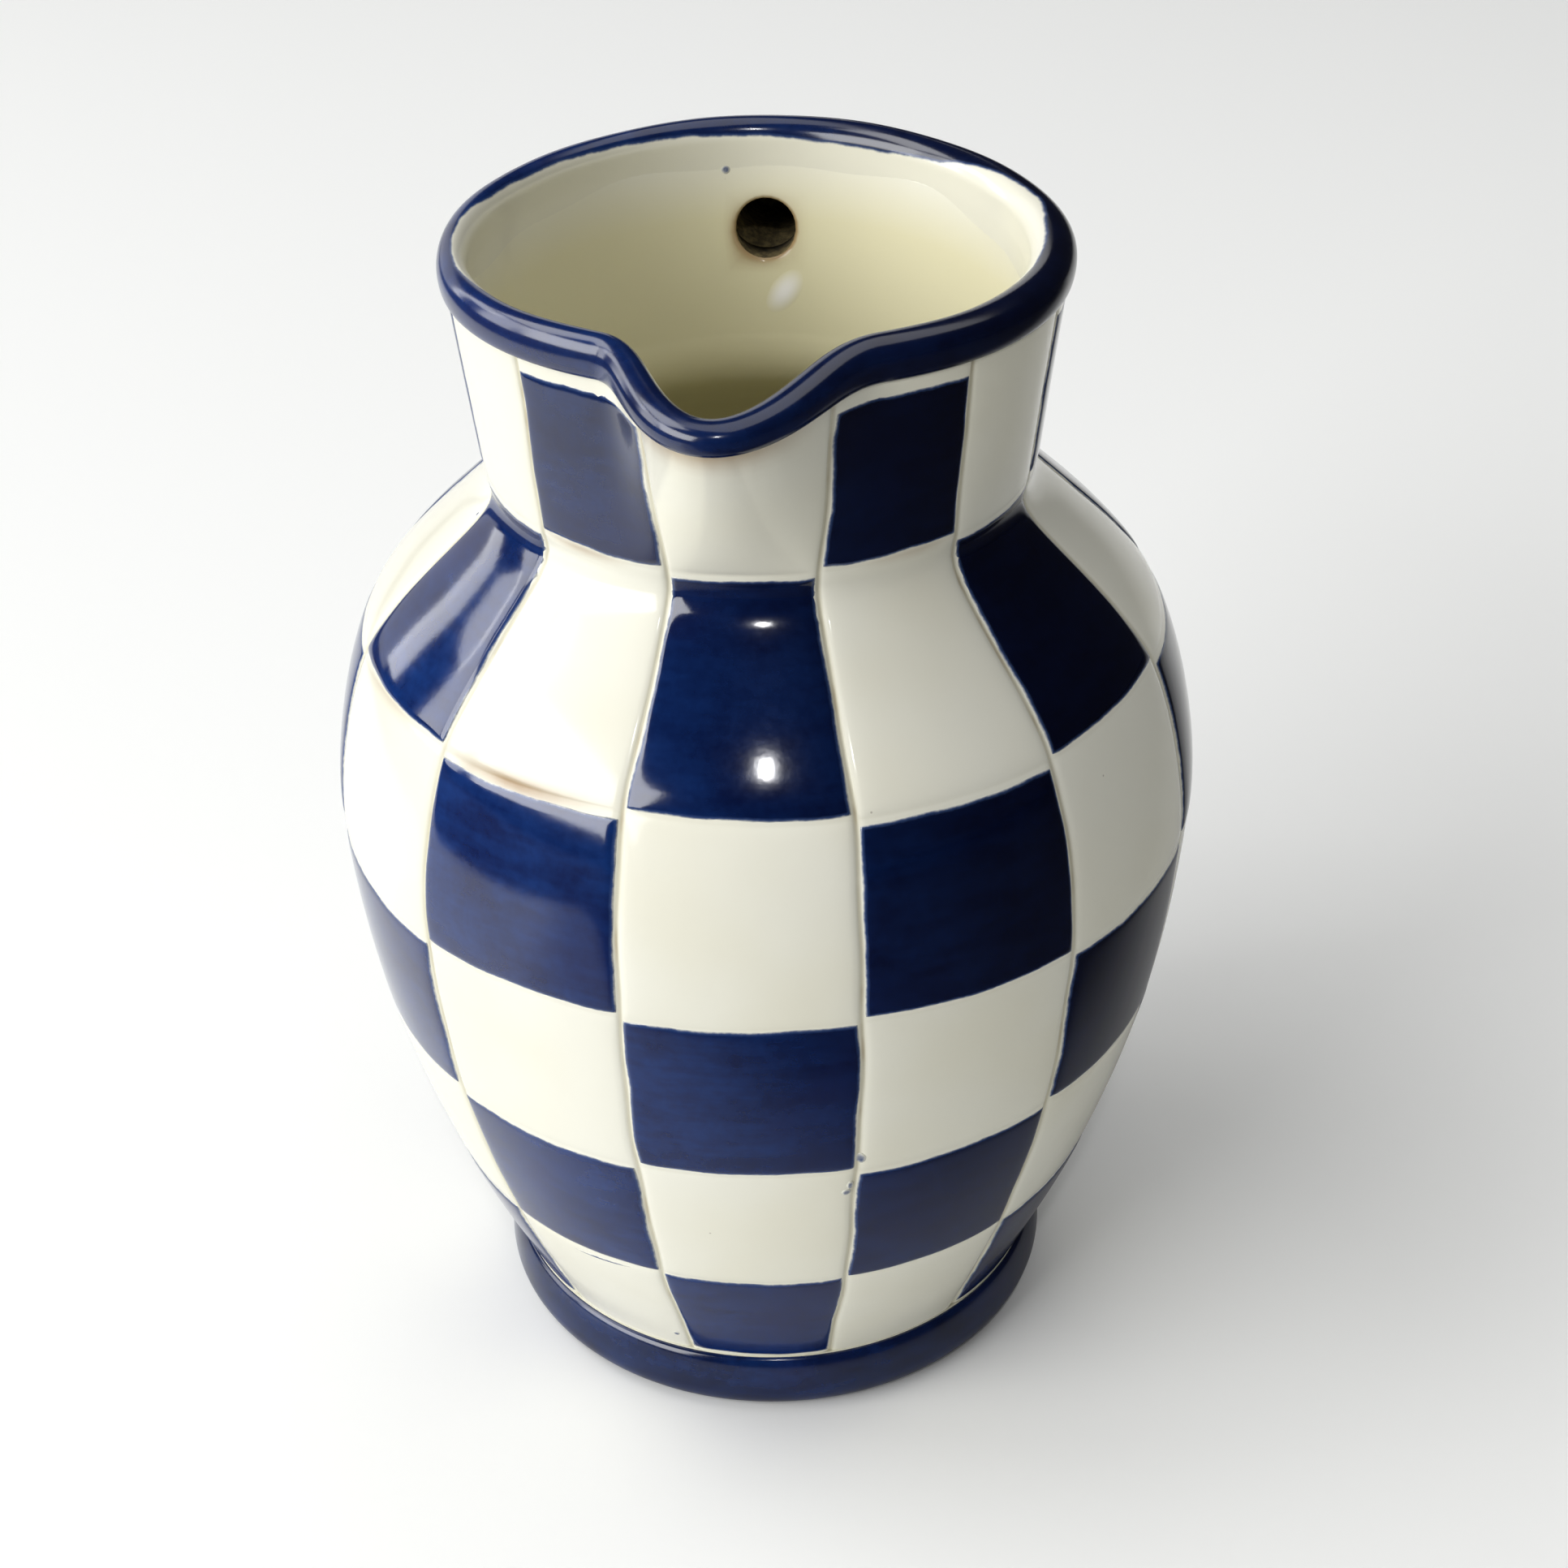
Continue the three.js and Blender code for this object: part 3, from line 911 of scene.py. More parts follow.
@dataclass
class CreamWall:
    """Belly and neck: the scored wall outside, the smooth wall inside, the floor and the drain hole."""

    check: ScoredCheck
    hole: DrainHole = DrainHole()
    scorches: tuple[Scorch, ...] = (
        Scorch(4, -31.0, 17.0, 1.0, 1.2), Scorch(4, -62.0, 14.0, 0.4), Scorch(5, -34.0, 15.0, 0.55),
        Scorch(5, 34.0, 14.0, 0.35), Scorch(6, -4.0, 22.0, 0.9, 3.0),
    )
    column_steps: int = 20
    row_steps: int = 20
    crowding: float = 0.8
    inner_steps: int = 64
    shade_growth: float = 3.0
    tuck: float = 1.0
    edge_share: float = 0.15
    floor_height: float = 7.7
    floor_fillet: float = 3.6
    fillet_start: float = 0.15
    fillet_steps: int = 7
    floor_rings: tuple[float, ...] = (0.66, 0.4, 0.16)
    skirt_inset: float = 0.8
    skirt_drop: float = 1.5
    under_share: float = 0.7
    under_drop: float = 1.2

    @cached_property
    def columns(self) -> Array:
        """Column numbers of the points round a ring."""
        shares = spread_shares(self.column_steps, self.crowding)
        return (np.arange(self.check.columns)[:, None] + shares).ravel()

    @cached_property
    def angles(self) -> Array:
        """Angles of the points round a ring, before the lines waver."""
        return (self.columns - 0.5) * self.check.pitch

    @cached_property
    def inner_heights(self) -> Array:
        """Heights of the inner rings, from the rim down; in the neck they pair with the outer rings."""
        wall = self.check.wall
        shares = np.append(spread_shares(self.row_steps, self.crowding), 1.0)
        neck = wall.neck_line + wall.neck_height * shares[::-1]
        return np.concatenate([neck, np.linspace(wall.neck_line, wall.foot_height, self.inner_steps)[1:]])

    @cached_property
    def hole_block(self) -> tuple[range, range]:
        """Bands, counted from the rim down, and quads in them that give way to the drain hole."""
        hole = self.hole
        near = np.flatnonzero(np.abs(self.inner_heights - hole.height) <= hole.block_half_height)
        aside = np.abs(self.angles - math.radians(hole.angle))
        beside = np.flatnonzero(aside <= math.radians(hole.block_angle))
        return range(near[0], near[-1]), range(beside[0], beside[-1])

    def scorch(self, phi: Array, z: Array) -> Array:
        """How brown the outer face is at angles and heights, from 0 to 1."""
        brown = np.zeros_like(phi)
        for patch in self.scorches:
            away = z - self.check.line_height(np.full(phi.shape, patch.line), phi)
            across = bump(turn_from(phi, patch.angle), patch.half_angle)
            brown = np.maximum(brown, patch.strength * across * bell(away, patch.width))
        return brown

    def outside(self, skin: Skin) -> list[Array]:
        """Lays the scored outer face from the foot to the rim.

        Args:
            skin: the piece being laid up.

        Returns:
            The rings' numbers, from the highest down.
        """
        lines = len(self.check.wall.lines)
        rows = (np.arange(lines - 1)[:, None] + spread_shares(self.row_steps, self.crowding)).ravel()
        rings = []
        for row in np.append(rows, lines - 1.0)[::-1]:
            level = np.full_like(self.columns, row)
            points, score = self.check.surface(self.columns, level)
            stain = self.scorch(*self.check.place(self.columns, level))
            rings.append(skin.ring(points, score=score, stain=stain))
        return rings

    def painted_inner_shade(self, z: Array) -> Array:
        """How much of the inner colour shows at each height, painted shade over a yellower tone: none at the
        rim, all of it low in the neck.
        """
        wall = self.check.wall
        return np.minimum(self.shade_growth * (wall.neck_top - z) / wall.neck_height, 1.0)

    def inside(self, skin: Skin) -> list[Array]:
        """Lays the inner face from the rim down to the floor's fillet.

        Args:
            skin: the piece being laid up.

        Returns:
            The rings' numbers, from the highest down.
        """
        wall = self.check.wall
        rings = []
        for z in self.inner_heights:
            level = np.full_like(self.angles, z)
            rings.append(skin.ring(wall.inner(self.angles, level), inside=self.painted_inner_shade(level)))
        return rings

    @property
    def hole_loop(self) -> list[tuple[int, int]]:
        """Rings and points in them, one after the other round the block that gives way to the drain hole."""
        down, across = self.hole_block
        loop = [(down.start, i) for i in range(across.start, across.stop)]
        loop += [(k, across.stop) for k in range(down.start, down.stop)]
        loop += [(down.stop, i) for i in range(across.stop, across.start, -1)]
        return loop + [(k, across.start) for k in range(down.stop, down.start, -1)]

    def drain(self, skin: Skin, outer: list[Array], inner: list[Array]) -> None:
        """Leads the inner face into the drain hole, and the hole on to the outer face inside the handle.

        Args:
            skin: the piece being laid up.
            outer: the outer face's rings, from the highest down.
            inner: the inner face's rings, from the highest down.
        """
        wall, hole, loop = self.check.wall, self.hole, self.hole_loop
        middle = math.radians(hole.angle)
        phi = np.array([self.angles[i] for _, i in loop])
        z = np.array([self.inner_heights[k] for k, _ in loop])
        reach = float(wall.radius(np.array(hole.height))) - wall.thickness
        turn = np.arctan2(z - hole.height, (phi - middle) * reach)
        smear = np.clip(np.sin(hole.smear_turn - turn), 0.0, 1.0)
        smear = hole.least_smear + (1 - hole.least_smear) * smear

        def circle(radius: float, share: float = 1.0) -> tuple[Array, Array]:
            """Angles and heights on the way from the block's edge to a circle round the hole's axis."""
            round_phi = middle + radius * np.cos(turn) / reach
            round_z = hole.height + radius * np.sin(turn)
            return (1 - share) * phi + share * round_phi, (1 - share) * z + share * round_z

        rings = [np.array([inner[k][i] for k, i in loop])]
        for share in hole.lead_in:
            place = circle(hole.radius + hole.edge_round, share)
            stain = hole.stain * share**3 * smear
            rings.append(skin.ring(wall.inner(*place), stain=stain, inside=self.painted_inner_shade(place[1])))
        for more, depth in hole.soft_edge:
            points = wall.inner(*circle(hole.radius + more)) + np.array([0.0, depth, 0.0])
            rings.append(skin.ring(points, stain=1.0, inside=1.0))
        rings.append(skin.ring(wall.point(*circle(hole.radius)), stain=1.0, inside=1.0))
        rings.append(skin.ring(wall.point(*circle(hole.radius, 0.5)), inside=1.0))
        rings.append(np.array([outer[k][i] for k, i in loop]))
        tube = range(len(hole.lead_in) + 2, len(rings) - 3)
        for number, (here, after) in enumerate(zip(rings, rings[1:])):
            skin.band(here, after, coat=Coat.HOLLOW if number in tube else Coat.OUTER)

    def flat_ring(self, skin: Skin, last: Array, radius: float, z: float) -> Array:
        """Adds a level ring and joins it to the last one.

        Args:
            skin: the piece being laid up.
            last: the ring before it.
            radius: the ring's radius.
            z: the ring's height.

        Returns:
            The new ring.
        """
        ring = skin.ring(level_circle(radius, self.angles, z), inside=1.0)
        skin.band(last, ring)
        return ring

    def floor(self, skin: Skin, last: Array) -> None:
        """Rounds the inner face into the floor and closes the floor.

        Args:
            skin: the piece being laid up.
            last: the inner face's lowest ring.
        """
        wall = self.check.wall
        start = float(np.linalg.norm(wall.inner(np.zeros(1), np.array([wall.foot_height]))[0, :2]))
        drop = wall.foot_height - self.floor_height
        for share in np.linspace(self.fillet_start, 1.0, self.fillet_steps):
            turn = share * math.pi / 2
            radius = start - self.floor_fillet * (1 - math.cos(turn))
            last = self.flat_ring(skin, last, radius, wall.foot_height - drop * math.sin(turn))
        for share in self.floor_rings:
            last = self.flat_ring(skin, last, share * start, self.floor_height)
        skin.face(last)

    def build(self, cream: bpy.types.Material, bore: bpy.types.Material) -> bpy.types.Object:
        """Makes the wall and lets it stand for the belly and the neck.

        Args:
            cream: finish of the wall.
            bore: finish of the drain hole, dark clay darkened further as painted shade of the deep hole.

        Returns:
            The wall's object.
        """
        wall = self.check.wall
        skin = Skin()
        outer, inner = self.outside(skin), self.inside(skin)
        down, across = self.hole_block
        for face in (outer, inner):
            for number, (high, low) in enumerate(zip(face, face[1:])):
                skin.band(high, low, skip=across if number in down else ())
        edge = np.full_like(self.angles, wall.neck_top)
        rise = np.array([0.0, 0.0, self.tuck])
        inset = wall.thickness + wall.mouth_shift * np.sin(self.angles)
        top_out = skin.ring(wall.level(self.angles, edge, -self.edge_share * inset) + rise)
        top_in = skin.ring(wall.level(self.angles, edge, (self.edge_share - 1) * inset) + rise)
        skin.bands([outer[0], top_out, top_in, inner[0]])
        self.drain(skin, outer, inner)
        self.floor(skin, inner[-1])
        foot = float(wall.radius(np.array(wall.foot_height)))
        under = self.flat_ring(skin, outer[-1], foot - self.skirt_inset, wall.foot_height - self.skirt_drop)
        under = self.flat_ring(skin, under, self.under_share * foot, self.floor_height - self.under_drop)
        skin.face(under)
        return settle(skin.build("cream_wall", [cream, bore]), Slot.CREAM, "belly", "neck")


@dataclass(frozen=True)
class CheckRow:
    """One row of the check: its letter on the solids, and the cream left beside its lines."""

    name: str
    low_margin: float
    high_margin: float


@dataclass
class CobaltFields:
    """The fields of cobalt glaze: thin skins with soft wavering edges on every second place of the check."""

    check: ScoredCheck
    rows: tuple[CheckRow, ...] = (
        CheckRow("e", 0.45, 0.1), CheckRow("d", 0.1, 0.65), CheckRow("c", 0.65, 0.35),
        CheckRow("b", 0.65, 0.85), CheckRow("a", 0.55, 1.05), CheckRow("neck", 0.55, 2.0),
    )
    side_margin: float = 0.35
    margin_waver: float = 0.14
    waver_length: float = 19.0
    side_length: float = 30.0
    corner_cut: float = 0.25
    corner_power: int = 11
    thickness: float = 0.13
    edge_width: float = 1.2
    sunk: float = 0.04
    bedded: float = 0.3
    steps: int = 26
    crowding: float = 0.75

    def margins(self, row: int, column: int, share: Array, side: Side) -> Array:
        """Cream left along one side of a field.

        Args:
            row: the row's number.
            column: the column's number.
            share: how far along the side each point is, from 0 to 1.
            side: which side it is.

        Returns:
            The margin at each point.
        """
        level = {Side.LOW: self.rows[row].low_margin, Side.HIGH: self.rows[row].high_margin}
        kept = level.get(side, self.side_margin)
        number = 7.0 * row + 3.0 * column + side.value
        return kept + self.margin_waver * sway(self.side_length * share, number, self.waver_length)

    def lay_out(self, row: int, column: int) -> tuple[Array, Array, Array]:
        """Lays out a field's points as a grid with rounded corners.

        Args:
            row: the row's number, counted up from the foot.
            column: the column's number, counted from the lip.

        Returns:
            The points' columns and rows on the check, and how far in from the field's edge they are.
        """
        check = self.check
        ends = np.append(spread_shares(self.steps, self.crowding), 1.0)
        across, up = np.meshgrid(ends, ends)
        high = float(check.row_height(np.array(row)))
        middle = check.wall.lines[row] + high * ends
        stretch = np.hypot(1.0, check.wall.slope(middle))[:, None]
        width = (check.pitch * check.wall.radius(middle))[:, None]
        height = high * float(stretch.mean())
        side, rise = 2 * across - 1, 2 * up - 1
        pulled = side * (1 - 2 * self.corner_cut / width * np.abs(rise) ** self.corner_power)
        raised = rise * (1 - 2 * self.corner_cut / height * np.abs(side) ** self.corner_power)
        across, up = (pulled + 1) / 2, (raised + 1) / 2
        left = self.margins(row, column, up, Side.LEFT) / width
        right = self.margins(row, column, up, Side.RIGHT) / width
        low = self.margins(row, column, across, Side.LOW) / height
        top = self.margins(row, column, across, Side.HIGH) / height
        columns = column + left + (1 - left - right) * across
        rows = row + low + (1 - low - top) * up
        inward_side = np.minimum(across, 1 - across) * width
        return columns, rows, np.minimum(inward_side, np.minimum(up, 1 - up) * height)

    def build_field(self, row: int, column: int, material: bpy.types.Material) -> bpy.types.Object:
        """Makes one field.

        Args:
            row: the row's number, counted up from the foot.
            column: the column's number, counted from the lip.
            material: the field's finish.

        Returns:
            The field's object.
        """
        columns, rows, inward = self.lay_out(row, column)
        share = np.minimum(inward / self.edge_width, 1.0)
        lift = (self.thickness + self.sunk) * (1 - (1 - share) ** 2) - self.sunk
        front, _ = self.check.surface(columns, rows, lift)
        back, _ = self.check.surface(columns, rows, -self.bedded)
        skin = Skin()
        front_rings = [skin.ring(points, edge=edge) for points, edge in zip(front, inward)]
        back_rings = [skin.ring(points) for points in back]
        skin.bands(front_rings, closed=False)
        skin.bands(back_rings[::-1], closed=False)
        skin.band(self.outline(back_rings), self.outline(front_rings))
        name = f"{self.rows[row].name}_{column}"
        return settle(skin.build("field_" + name, [material]), Slot.FIELD, "cobalt_" + name)

    @staticmethod
    def outline(rings: list[Array]) -> Array:
        """Numbers of the points round the edge of a sheet."""
        grid = np.array(rings)
        return np.concatenate([grid[0, :-1], grid[:-1, -1], grid[-1, :0:-1], grid[:0:-1, 0]])

    def build(self, material: bpy.types.Material) -> None:
        """Makes all the fields."""
        for row in range(len(self.rows)):
            for column in range(row % 2, self.check.columns, 2):
                self.build_field(row, column, material)


@dataclass
class RolledRim:
    """The rolled bead on the neck's edge: cobalt over its outside and crown, cream on its inner side."""

    wall: JugWall
    height: float = 6.4
    overhang: float = 1.3
    lip_thinning: float = 1.8
    inner_round: float = 0.2
    inner_lean: float = 0.54
    inner_drop: float = 6.0
    tuck: float = 0.25
    ledge: float = 0.35
    ledge_angle: float = 75.0
    ledge_half_angle: float = 70.0
    set_in: float = 0.3
    steps: int = 480
    arc_steps: int = 12
    slack: float = 0.98
    slack_waves: int = 5
    blue_reach: tuple[tuple[float, float], ...] = (
        (-165.0, 8.8), (-140.0, 7.7), (-108.0, 7.3), (-95.0, 5.5), (-72.0, 5.2), (-45.0, 7.5), (45.0, 7.5),
        (88.0, 6.5), (108.0, 5.2), (124.0, 6.0), (140.0, 8.6), (155.0, 9.8), (172.0, 9.4),
    )
    blue_waver: float = 0.16
    broad_waves: int = 7
    fine_waves: int = 23
    fine_share: float = 0.7

    def section(self) -> Array:
        """The bead's section in three columns.

        Returns:
            Shares of its width from outside in, shares of the way down its inner side, and heights over the
            neck's edge. The last two points lie hidden in the wall.
        """
        half = self.height / 2
        width = self.overhang + self.wall.thickness
        turn = np.linspace(0, math.pi / 2, self.arc_steps)
        hang = self.overhang / width * (1 - np.sin(turn))
        under = np.stack([hang, 0 * turn, half * (1 - np.cos(turn))], axis=-1)
        over = np.linspace(0, math.pi, 2 * self.arc_steps)[1:]
        crown = np.stack([(1 - np.cos(over)) / 2, 0 * over, half + half * np.sin(over)], axis=-1)
        fall = np.linspace(0, 1, 2 * self.arc_steps)[1:]
        inside = np.stack([np.ones_like(fall), fall, half - (half + self.inner_drop) * fall], axis=-1)
        core = np.array([[0.8, 1.0, -0.95 * self.inner_drop], [0.35, 0.0, 0.2]])
        return np.concatenate([under, crown, inside, core])

    def blue_end(self, phi: Array) -> Array:
        """How far the cobalt reaches over the crown at each angle, along the section from its outside."""
        angles, reaches = np.array(self.blue_reach).T
        reach = np.interp(np.degrees(phi), angles, reaches, period=360.0)
        fine = self.fine_share * round_sway(phi, 3.0, self.fine_waves)
        return reach + self.blue_waver * (round_sway(phi, 5.0, self.broad_waves) + fine)

    def build(self, material: bpy.types.Material) -> bpy.types.Object:
        """Makes the bead and lets it stand for the rim."""
        phi = round_turns(self.steps)
        section = self.section()
        outside = self.overhang - self.set_in
        width = outside + self.wall.thickness + self.inner_round
        shift = self.wall.mouth_shift * np.sin(phi)
        plain = section[:, [0, 2]] * np.array([self.overhang + self.wall.thickness, 1.0])
        walked = walked_along(plain)
        walked -= walked[self.arc_steps - 1]
        thinner = 1 - self.lip_thinning / self.height * self.wall.lip_pull(phi)
        fuller = self.slack + (1 - self.slack) * round_sway(phi, 2.0, self.slack_waves)
        ledge = self.ledge * bump(turn_from(phi, self.ledge_angle), self.ledge_half_angle)
        level = np.full_like(phi, self.wall.neck_top)
        blue_end = self.blue_end(phi)
        skin = Skin()
        rings = []
        for number, ((share, fall, height), at) in enumerate(zip(section, walked)):
            beside = share * (width + shift * (1 + min(height, 0.0) / self.wall.neck_height))
            inward = beside + self.inner_lean * fall**2 - self.tuck * fall**6
            inward += ledge * math.sin(math.pi * fall)
            points = self.wall.level(phi, level, (outside - inward) * fuller)
            points[:, 2] += height * np.where(height > 0, thinner * fuller, 1.0)
            hidden = number >= len(section) - 2
            rings.append(skin.ring(points, edge=-1.0 if hidden else blue_end - at))
        skin.bands([*rings, rings[0]])
        return settle(skin.build("rim_bead", [material]), Slot.TRIM, "rim")


@dataclass
class FootBand:
    """The foot: a rounded cobalt band, the bare standing ring and the glazed recess under it."""

    radius: float = 48.2
    height: float = 11.5
    top_radius: float = 46.4
    bottom_round: float = 4.6
    shoulder: float = 6.6
    ring_width: float = 5.6
    recess_depth: float = 2.5
    recess_slope: float = 1.5
    recess_round: float = 0.5
    recess_middle: float = 6.0
    top_inside: float = 7.1
    top_chamfer: tuple[float, float] = (1.2, 0.4)
    top_slope: float = 6.0
    top_middle: float = 8.0
    steps: int = 240
    arc_steps: int = 10
    blue_start: float = 0.6
    blue_waver: float = 0.25
    blue_waves: int = 9

    def profile(self) -> list[tuple[Array, Coat]]:
        """Stretches of the profile from the axis underneath to the axis inside, with their finishes."""
        ring_out = self.radius - self.bottom_round
        ring_in = ring_out - self.ring_width
        recess = ring_in - self.recess_slope
        turn = np.linspace(0, math.pi / 2, self.arc_steps)
        soft = self.recess_round
        under = np.array([[self.recess_middle, self.recess_depth], [0.6 * recess, self.recess_depth],
                          [recess - soft, self.recess_depth], [recess, self.recess_depth - 0.3 * soft],
                          [ring_in - 0.6 * soft, 0.7 * soft], [ring_in, 0.2 * soft]])
        ring = np.array([[ring_in, 0.2 * soft], [ring_in + soft, 0.0],
                         [ring_out - soft, 0.0], [ring_out, 0.0]])
        round_out = np.stack([ring_out + self.bottom_round * np.sin(turn),
                              self.bottom_round * (1 - np.cos(turn))], axis=-1)
        rise = self.height - self.shoulder
        shoulder = np.stack([self.top_radius + (self.radius - self.top_radius) * np.cos(turn),
                             rise + self.shoulder * np.sin(turn)], axis=-1)
        top = np.array([self.top_radius, self.height])
        inside = np.array([top, top - self.top_chamfer, [self.top_radius - self.top_slope, self.top_inside],
                           [self.top_middle, self.top_inside]])
        band = np.concatenate([round_out, shoulder])
        return [(under, Coat.HOLLOW), (ring, Coat.STANDING), (band, Coat.OUTER), (inside, Coat.HOLLOW)]

    def build(self, cobalt: bpy.types.Material, cream: bpy.types.Material,
              clay: bpy.types.Material) -> bpy.types.Object:
        """Makes the foot.

        Args:
            cobalt: finish of the band.
            cream: finish of the recess.
            clay: finish of the standing ring.

        Returns:
            The foot's object.
        """
        phi = round_turns(self.steps)
        waver = self.blue_waver * round_sway(phi, 6.0, self.blue_waves)
        skin = Skin()
        last = None
        for stretch, coat in self.profile():
            for (radius, z), walked in zip(stretch, walked_along(stretch)):
                if last is not None and walked == 0:
                    continue
                ring = skin.ring(level_circle(radius, phi, z), edge=walked - self.blue_start + waver)
                if last is None:
                    skin.face(ring, coat)
                else:
                    skin.band(last, ring, coat=coat)
                last = ring
        skin.face(last, Coat.HOLLOW)
        return settle(skin.build("foot_band", [cobalt, cream, clay]), Slot.TRIM, "foot")


@dataclass
class LoopHandle:
    """The hollow-cast handle: a tapering oval rod drawn from the neck in a loop down to the belly."""

    wall: JugWall
    rim_gap: float = 1.6
    lower_rise: float = 16.0
    upper_pull: float = 60.0
    upper_lift: float = 5.0
    lower_pull: float = 30.0
    lower_lift: float = 3.0
    width: float = 19.0
    thickness: float = 14.0
    taper: float = 0.88
    flare: float = 2.0
    flare_length: float = 9.0
    slack: float = 0.25
    bore_share: float = 0.72
    bore_steps: int = 24
    steps: int = 110
    sides: int = 48
    sunk: float = 0.8
    blue_reach: float = 0.4
    blue_waver: float = 0.35

    def path(self) -> Array:
        """The handle's middle line, from inside the neck's wall to inside the belly's, at even steps."""
        wall = replace(self.wall, back_reach=0.0)
        upper_z = wall.neck_top - self.rim_gap - self.flare - self.thickness / 2
        lower_z = wall.lines[3] + self.lower_rise
        upper, lower = wall.point(np.full(2, math.pi), np.array([upper_z, lower_z]))
        away = upper + np.array([0.0, self.upper_pull, self.upper_lift])
        back = lower + np.array([0.0, self.lower_pull, self.lower_lift])
        t = np.linspace(0, 1, 8 * self.steps)[:, None]
        drawn = (1 - t) ** 3 * upper + 3 * (1 - t) ** 2 * t * away + 3 * (1 - t) * t**2 * back + t**3 * lower
        into = np.array([0.0, -self.sunk, 0.0])
        line = np.concatenate([[upper + into], drawn, [lower + into]])
        walked = walked_along(line)
        even = np.linspace(0, walked[-1], self.steps)
        return np.stack([np.interp(even, walked, line[:, k]) for k in range(3)], axis=-1)

    def outside(self, skin: Skin, path: Array) -> list[Array]:
        """Lays the handle's outer rings along its middle line.

        Args:
            skin: the piece being laid up.
            path: the middle line.

        Returns:
            The rings' numbers.
        """
        ahead = np.gradient(path, axis=0)
        ahead /= np.linalg.norm(ahead, axis=1, keepdims=True)
        step = float(np.linalg.norm(path[1] - path[0]))
        across = np.array([1.0, 0.0, 0.0])
        turn = round_turns(self.sides)
        rings = []
        for number, (centre, forward) in enumerate(zip(path, ahead)):
            outward = np.cross(forward, across)
            share = number / (self.steps - 1)
            from_root = max(min(number, self.steps - 1 - number) * step - self.sunk, 0.0)
            flare = self.flare * max(1 - from_root / self.flare_length, 0.0) ** 2 - self.slack
            taper = 1 + (self.taper - 1) * share
            wide = self.width * taper / 2 + flare
            thick = self.thickness * taper / 2 + flare
            points = centre + np.outer(wide * np.cos(turn), across) + np.outer(thick * np.sin(turn), outward)
            edge = from_root + self.blue_reach + self.blue_waver * np.sin(3 * turn + 5 * share)
            rings.append(skin.ring(points, edge=edge))
        return rings

    def build(self, cobalt: bpy.types.Material, bore: bpy.types.Material) -> bpy.types.Object:
        """Makes the handle.

        Args:
            cobalt: finish of its outside.
            bore: finish of its hollow, dark clay darkened further as painted shade.

        Returns:
            The handle's object.
        """
        path = self.path()
        skin = Skin()
        rings = self.outside(skin, path)
        skin.bands(rings)
        last = rings[0]
        for number in range(self.bore_steps):
            ring = skin.ring(path[number] + self.bore_share * (skin.points[number] - path[number]))
            skin.band(last, ring, coat=Coat.HOLLOW)
            last = ring
        skin.face(last, Coat.HOLLOW)
        skin.face(rings[-1])
        return settle(skin.build("handle_loop", [cobalt, bore]), Slot.TRIM, "handle")


@dataclass(frozen=True)
class Speck:
    """A stray spot of cobalt on the cream: its place, its size and how far it is drawn out sideways."""

    angle: float
    height: float
    radius: float
    stretch: float = 1.0
    lean: float = 0.0
    on_inner_face: bool = False


@dataclass
class StraySpecks:
    """Small spots of cobalt that the brush left beside the fields."""

    check: ScoredCheck
    specks: tuple[Speck, ...] = (
        Speck(15.4, 71.6, 1.2, 0.8), Speck(14.2, 65.4, 1.0, 0.6), Speck(13.7, 63.8, 0.8),
        Speck(-26.2, 37.5, 0.34, 19.0, 0.1), Speck(-75.5, 154.0, 0.5), Speck(-17.1, 15.8, 0.6),
        Speck(46.9, 145.2, 0.7, 0.6), Speck(-91.0, 33.4, 0.6, 1.6), Speck(158.0, 92.0, 0.7, 1.3),
        Speck(-142.0, 60.5, 0.5), Speck(104.0, 118.0, 0.6, 0.8),
        Speck(190.3, 188.2, 0.8, 1.1, on_inner_face=True),
    )
    strength: float = 0.5
    dome: float = 0.12
    sunk: float = 0.05
    sides: int = 16

    @property
    def section(self) -> tuple[tuple[float, float], ...]:
        """A speck's section from top to underside: shares of its radius, and heights over the face."""
        return (0.35, self.dome), (0.75, 0.6 * self.dome), (1.0, -self.sunk), (0.9, -3 * self.sunk)

    def build(self, material: bpy.types.Material) -> bpy.types.Object:
        """Makes all the specks as one piece."""
        wall = self.check.wall
        turn = round_turns(self.sides)
        skin = Skin()
        for speck in self.specks:
            rings = []
            for share, lift in self.section:
                x = speck.radius * speck.stretch * share * np.cos(turn)
                y = speck.radius * share * np.sin(turn) + speck.lean * x
                z = speck.height + y
                phi = math.radians(speck.angle) + x / wall.radius(z)
                foot, out = self.seat(speck, phi, z)
                rings.append(skin.ring(foot + lift * out, edge=self.strength * (1 - share)))
            skin.face(rings[0])
            skin.bands(rings)
            skin.face(rings[-1][::-1])
        return settle(skin.build("stray_specks", [material]), Slot.FIELD)

    def seat(self, speck: Speck, phi: Array, z: Array) -> tuple[Array, Array]:
        """Points of the face that a speck lies on, and the directions out of that face.

        Args:
            speck: the speck.
            phi: angles from the middle of the lip, in radians.
            z: heights.

        Returns:
            The points and the directions.
        """
        wall = self.check.wall
        out = wall.normal(phi, z)
        if speck.on_inner_face:
            return wall.inner(phi, z), -out
        return wall.point(phi, z) - out * self.depth(phi, z)[..., None], out

    def depth(self, phi: Array, z: Array) -> Array:
        """How far the scored wall lies below the plain wall, at angles and heights."""
        check = self.check
        column = phi / check.pitch + 0.5
        lines = check.wall.lines
        line = np.clip(np.searchsorted(lines, z, side="right") - 1, 0, len(lines) - 2)
        row = line + (z - lines[line]) / check.row_height(line)
        points, _ = check.surface(column, row)
        placed_phi, placed_z = check.place(column, row)
        return np.linalg.norm(points - check.wall.point(placed_phi, placed_z), axis=-1)


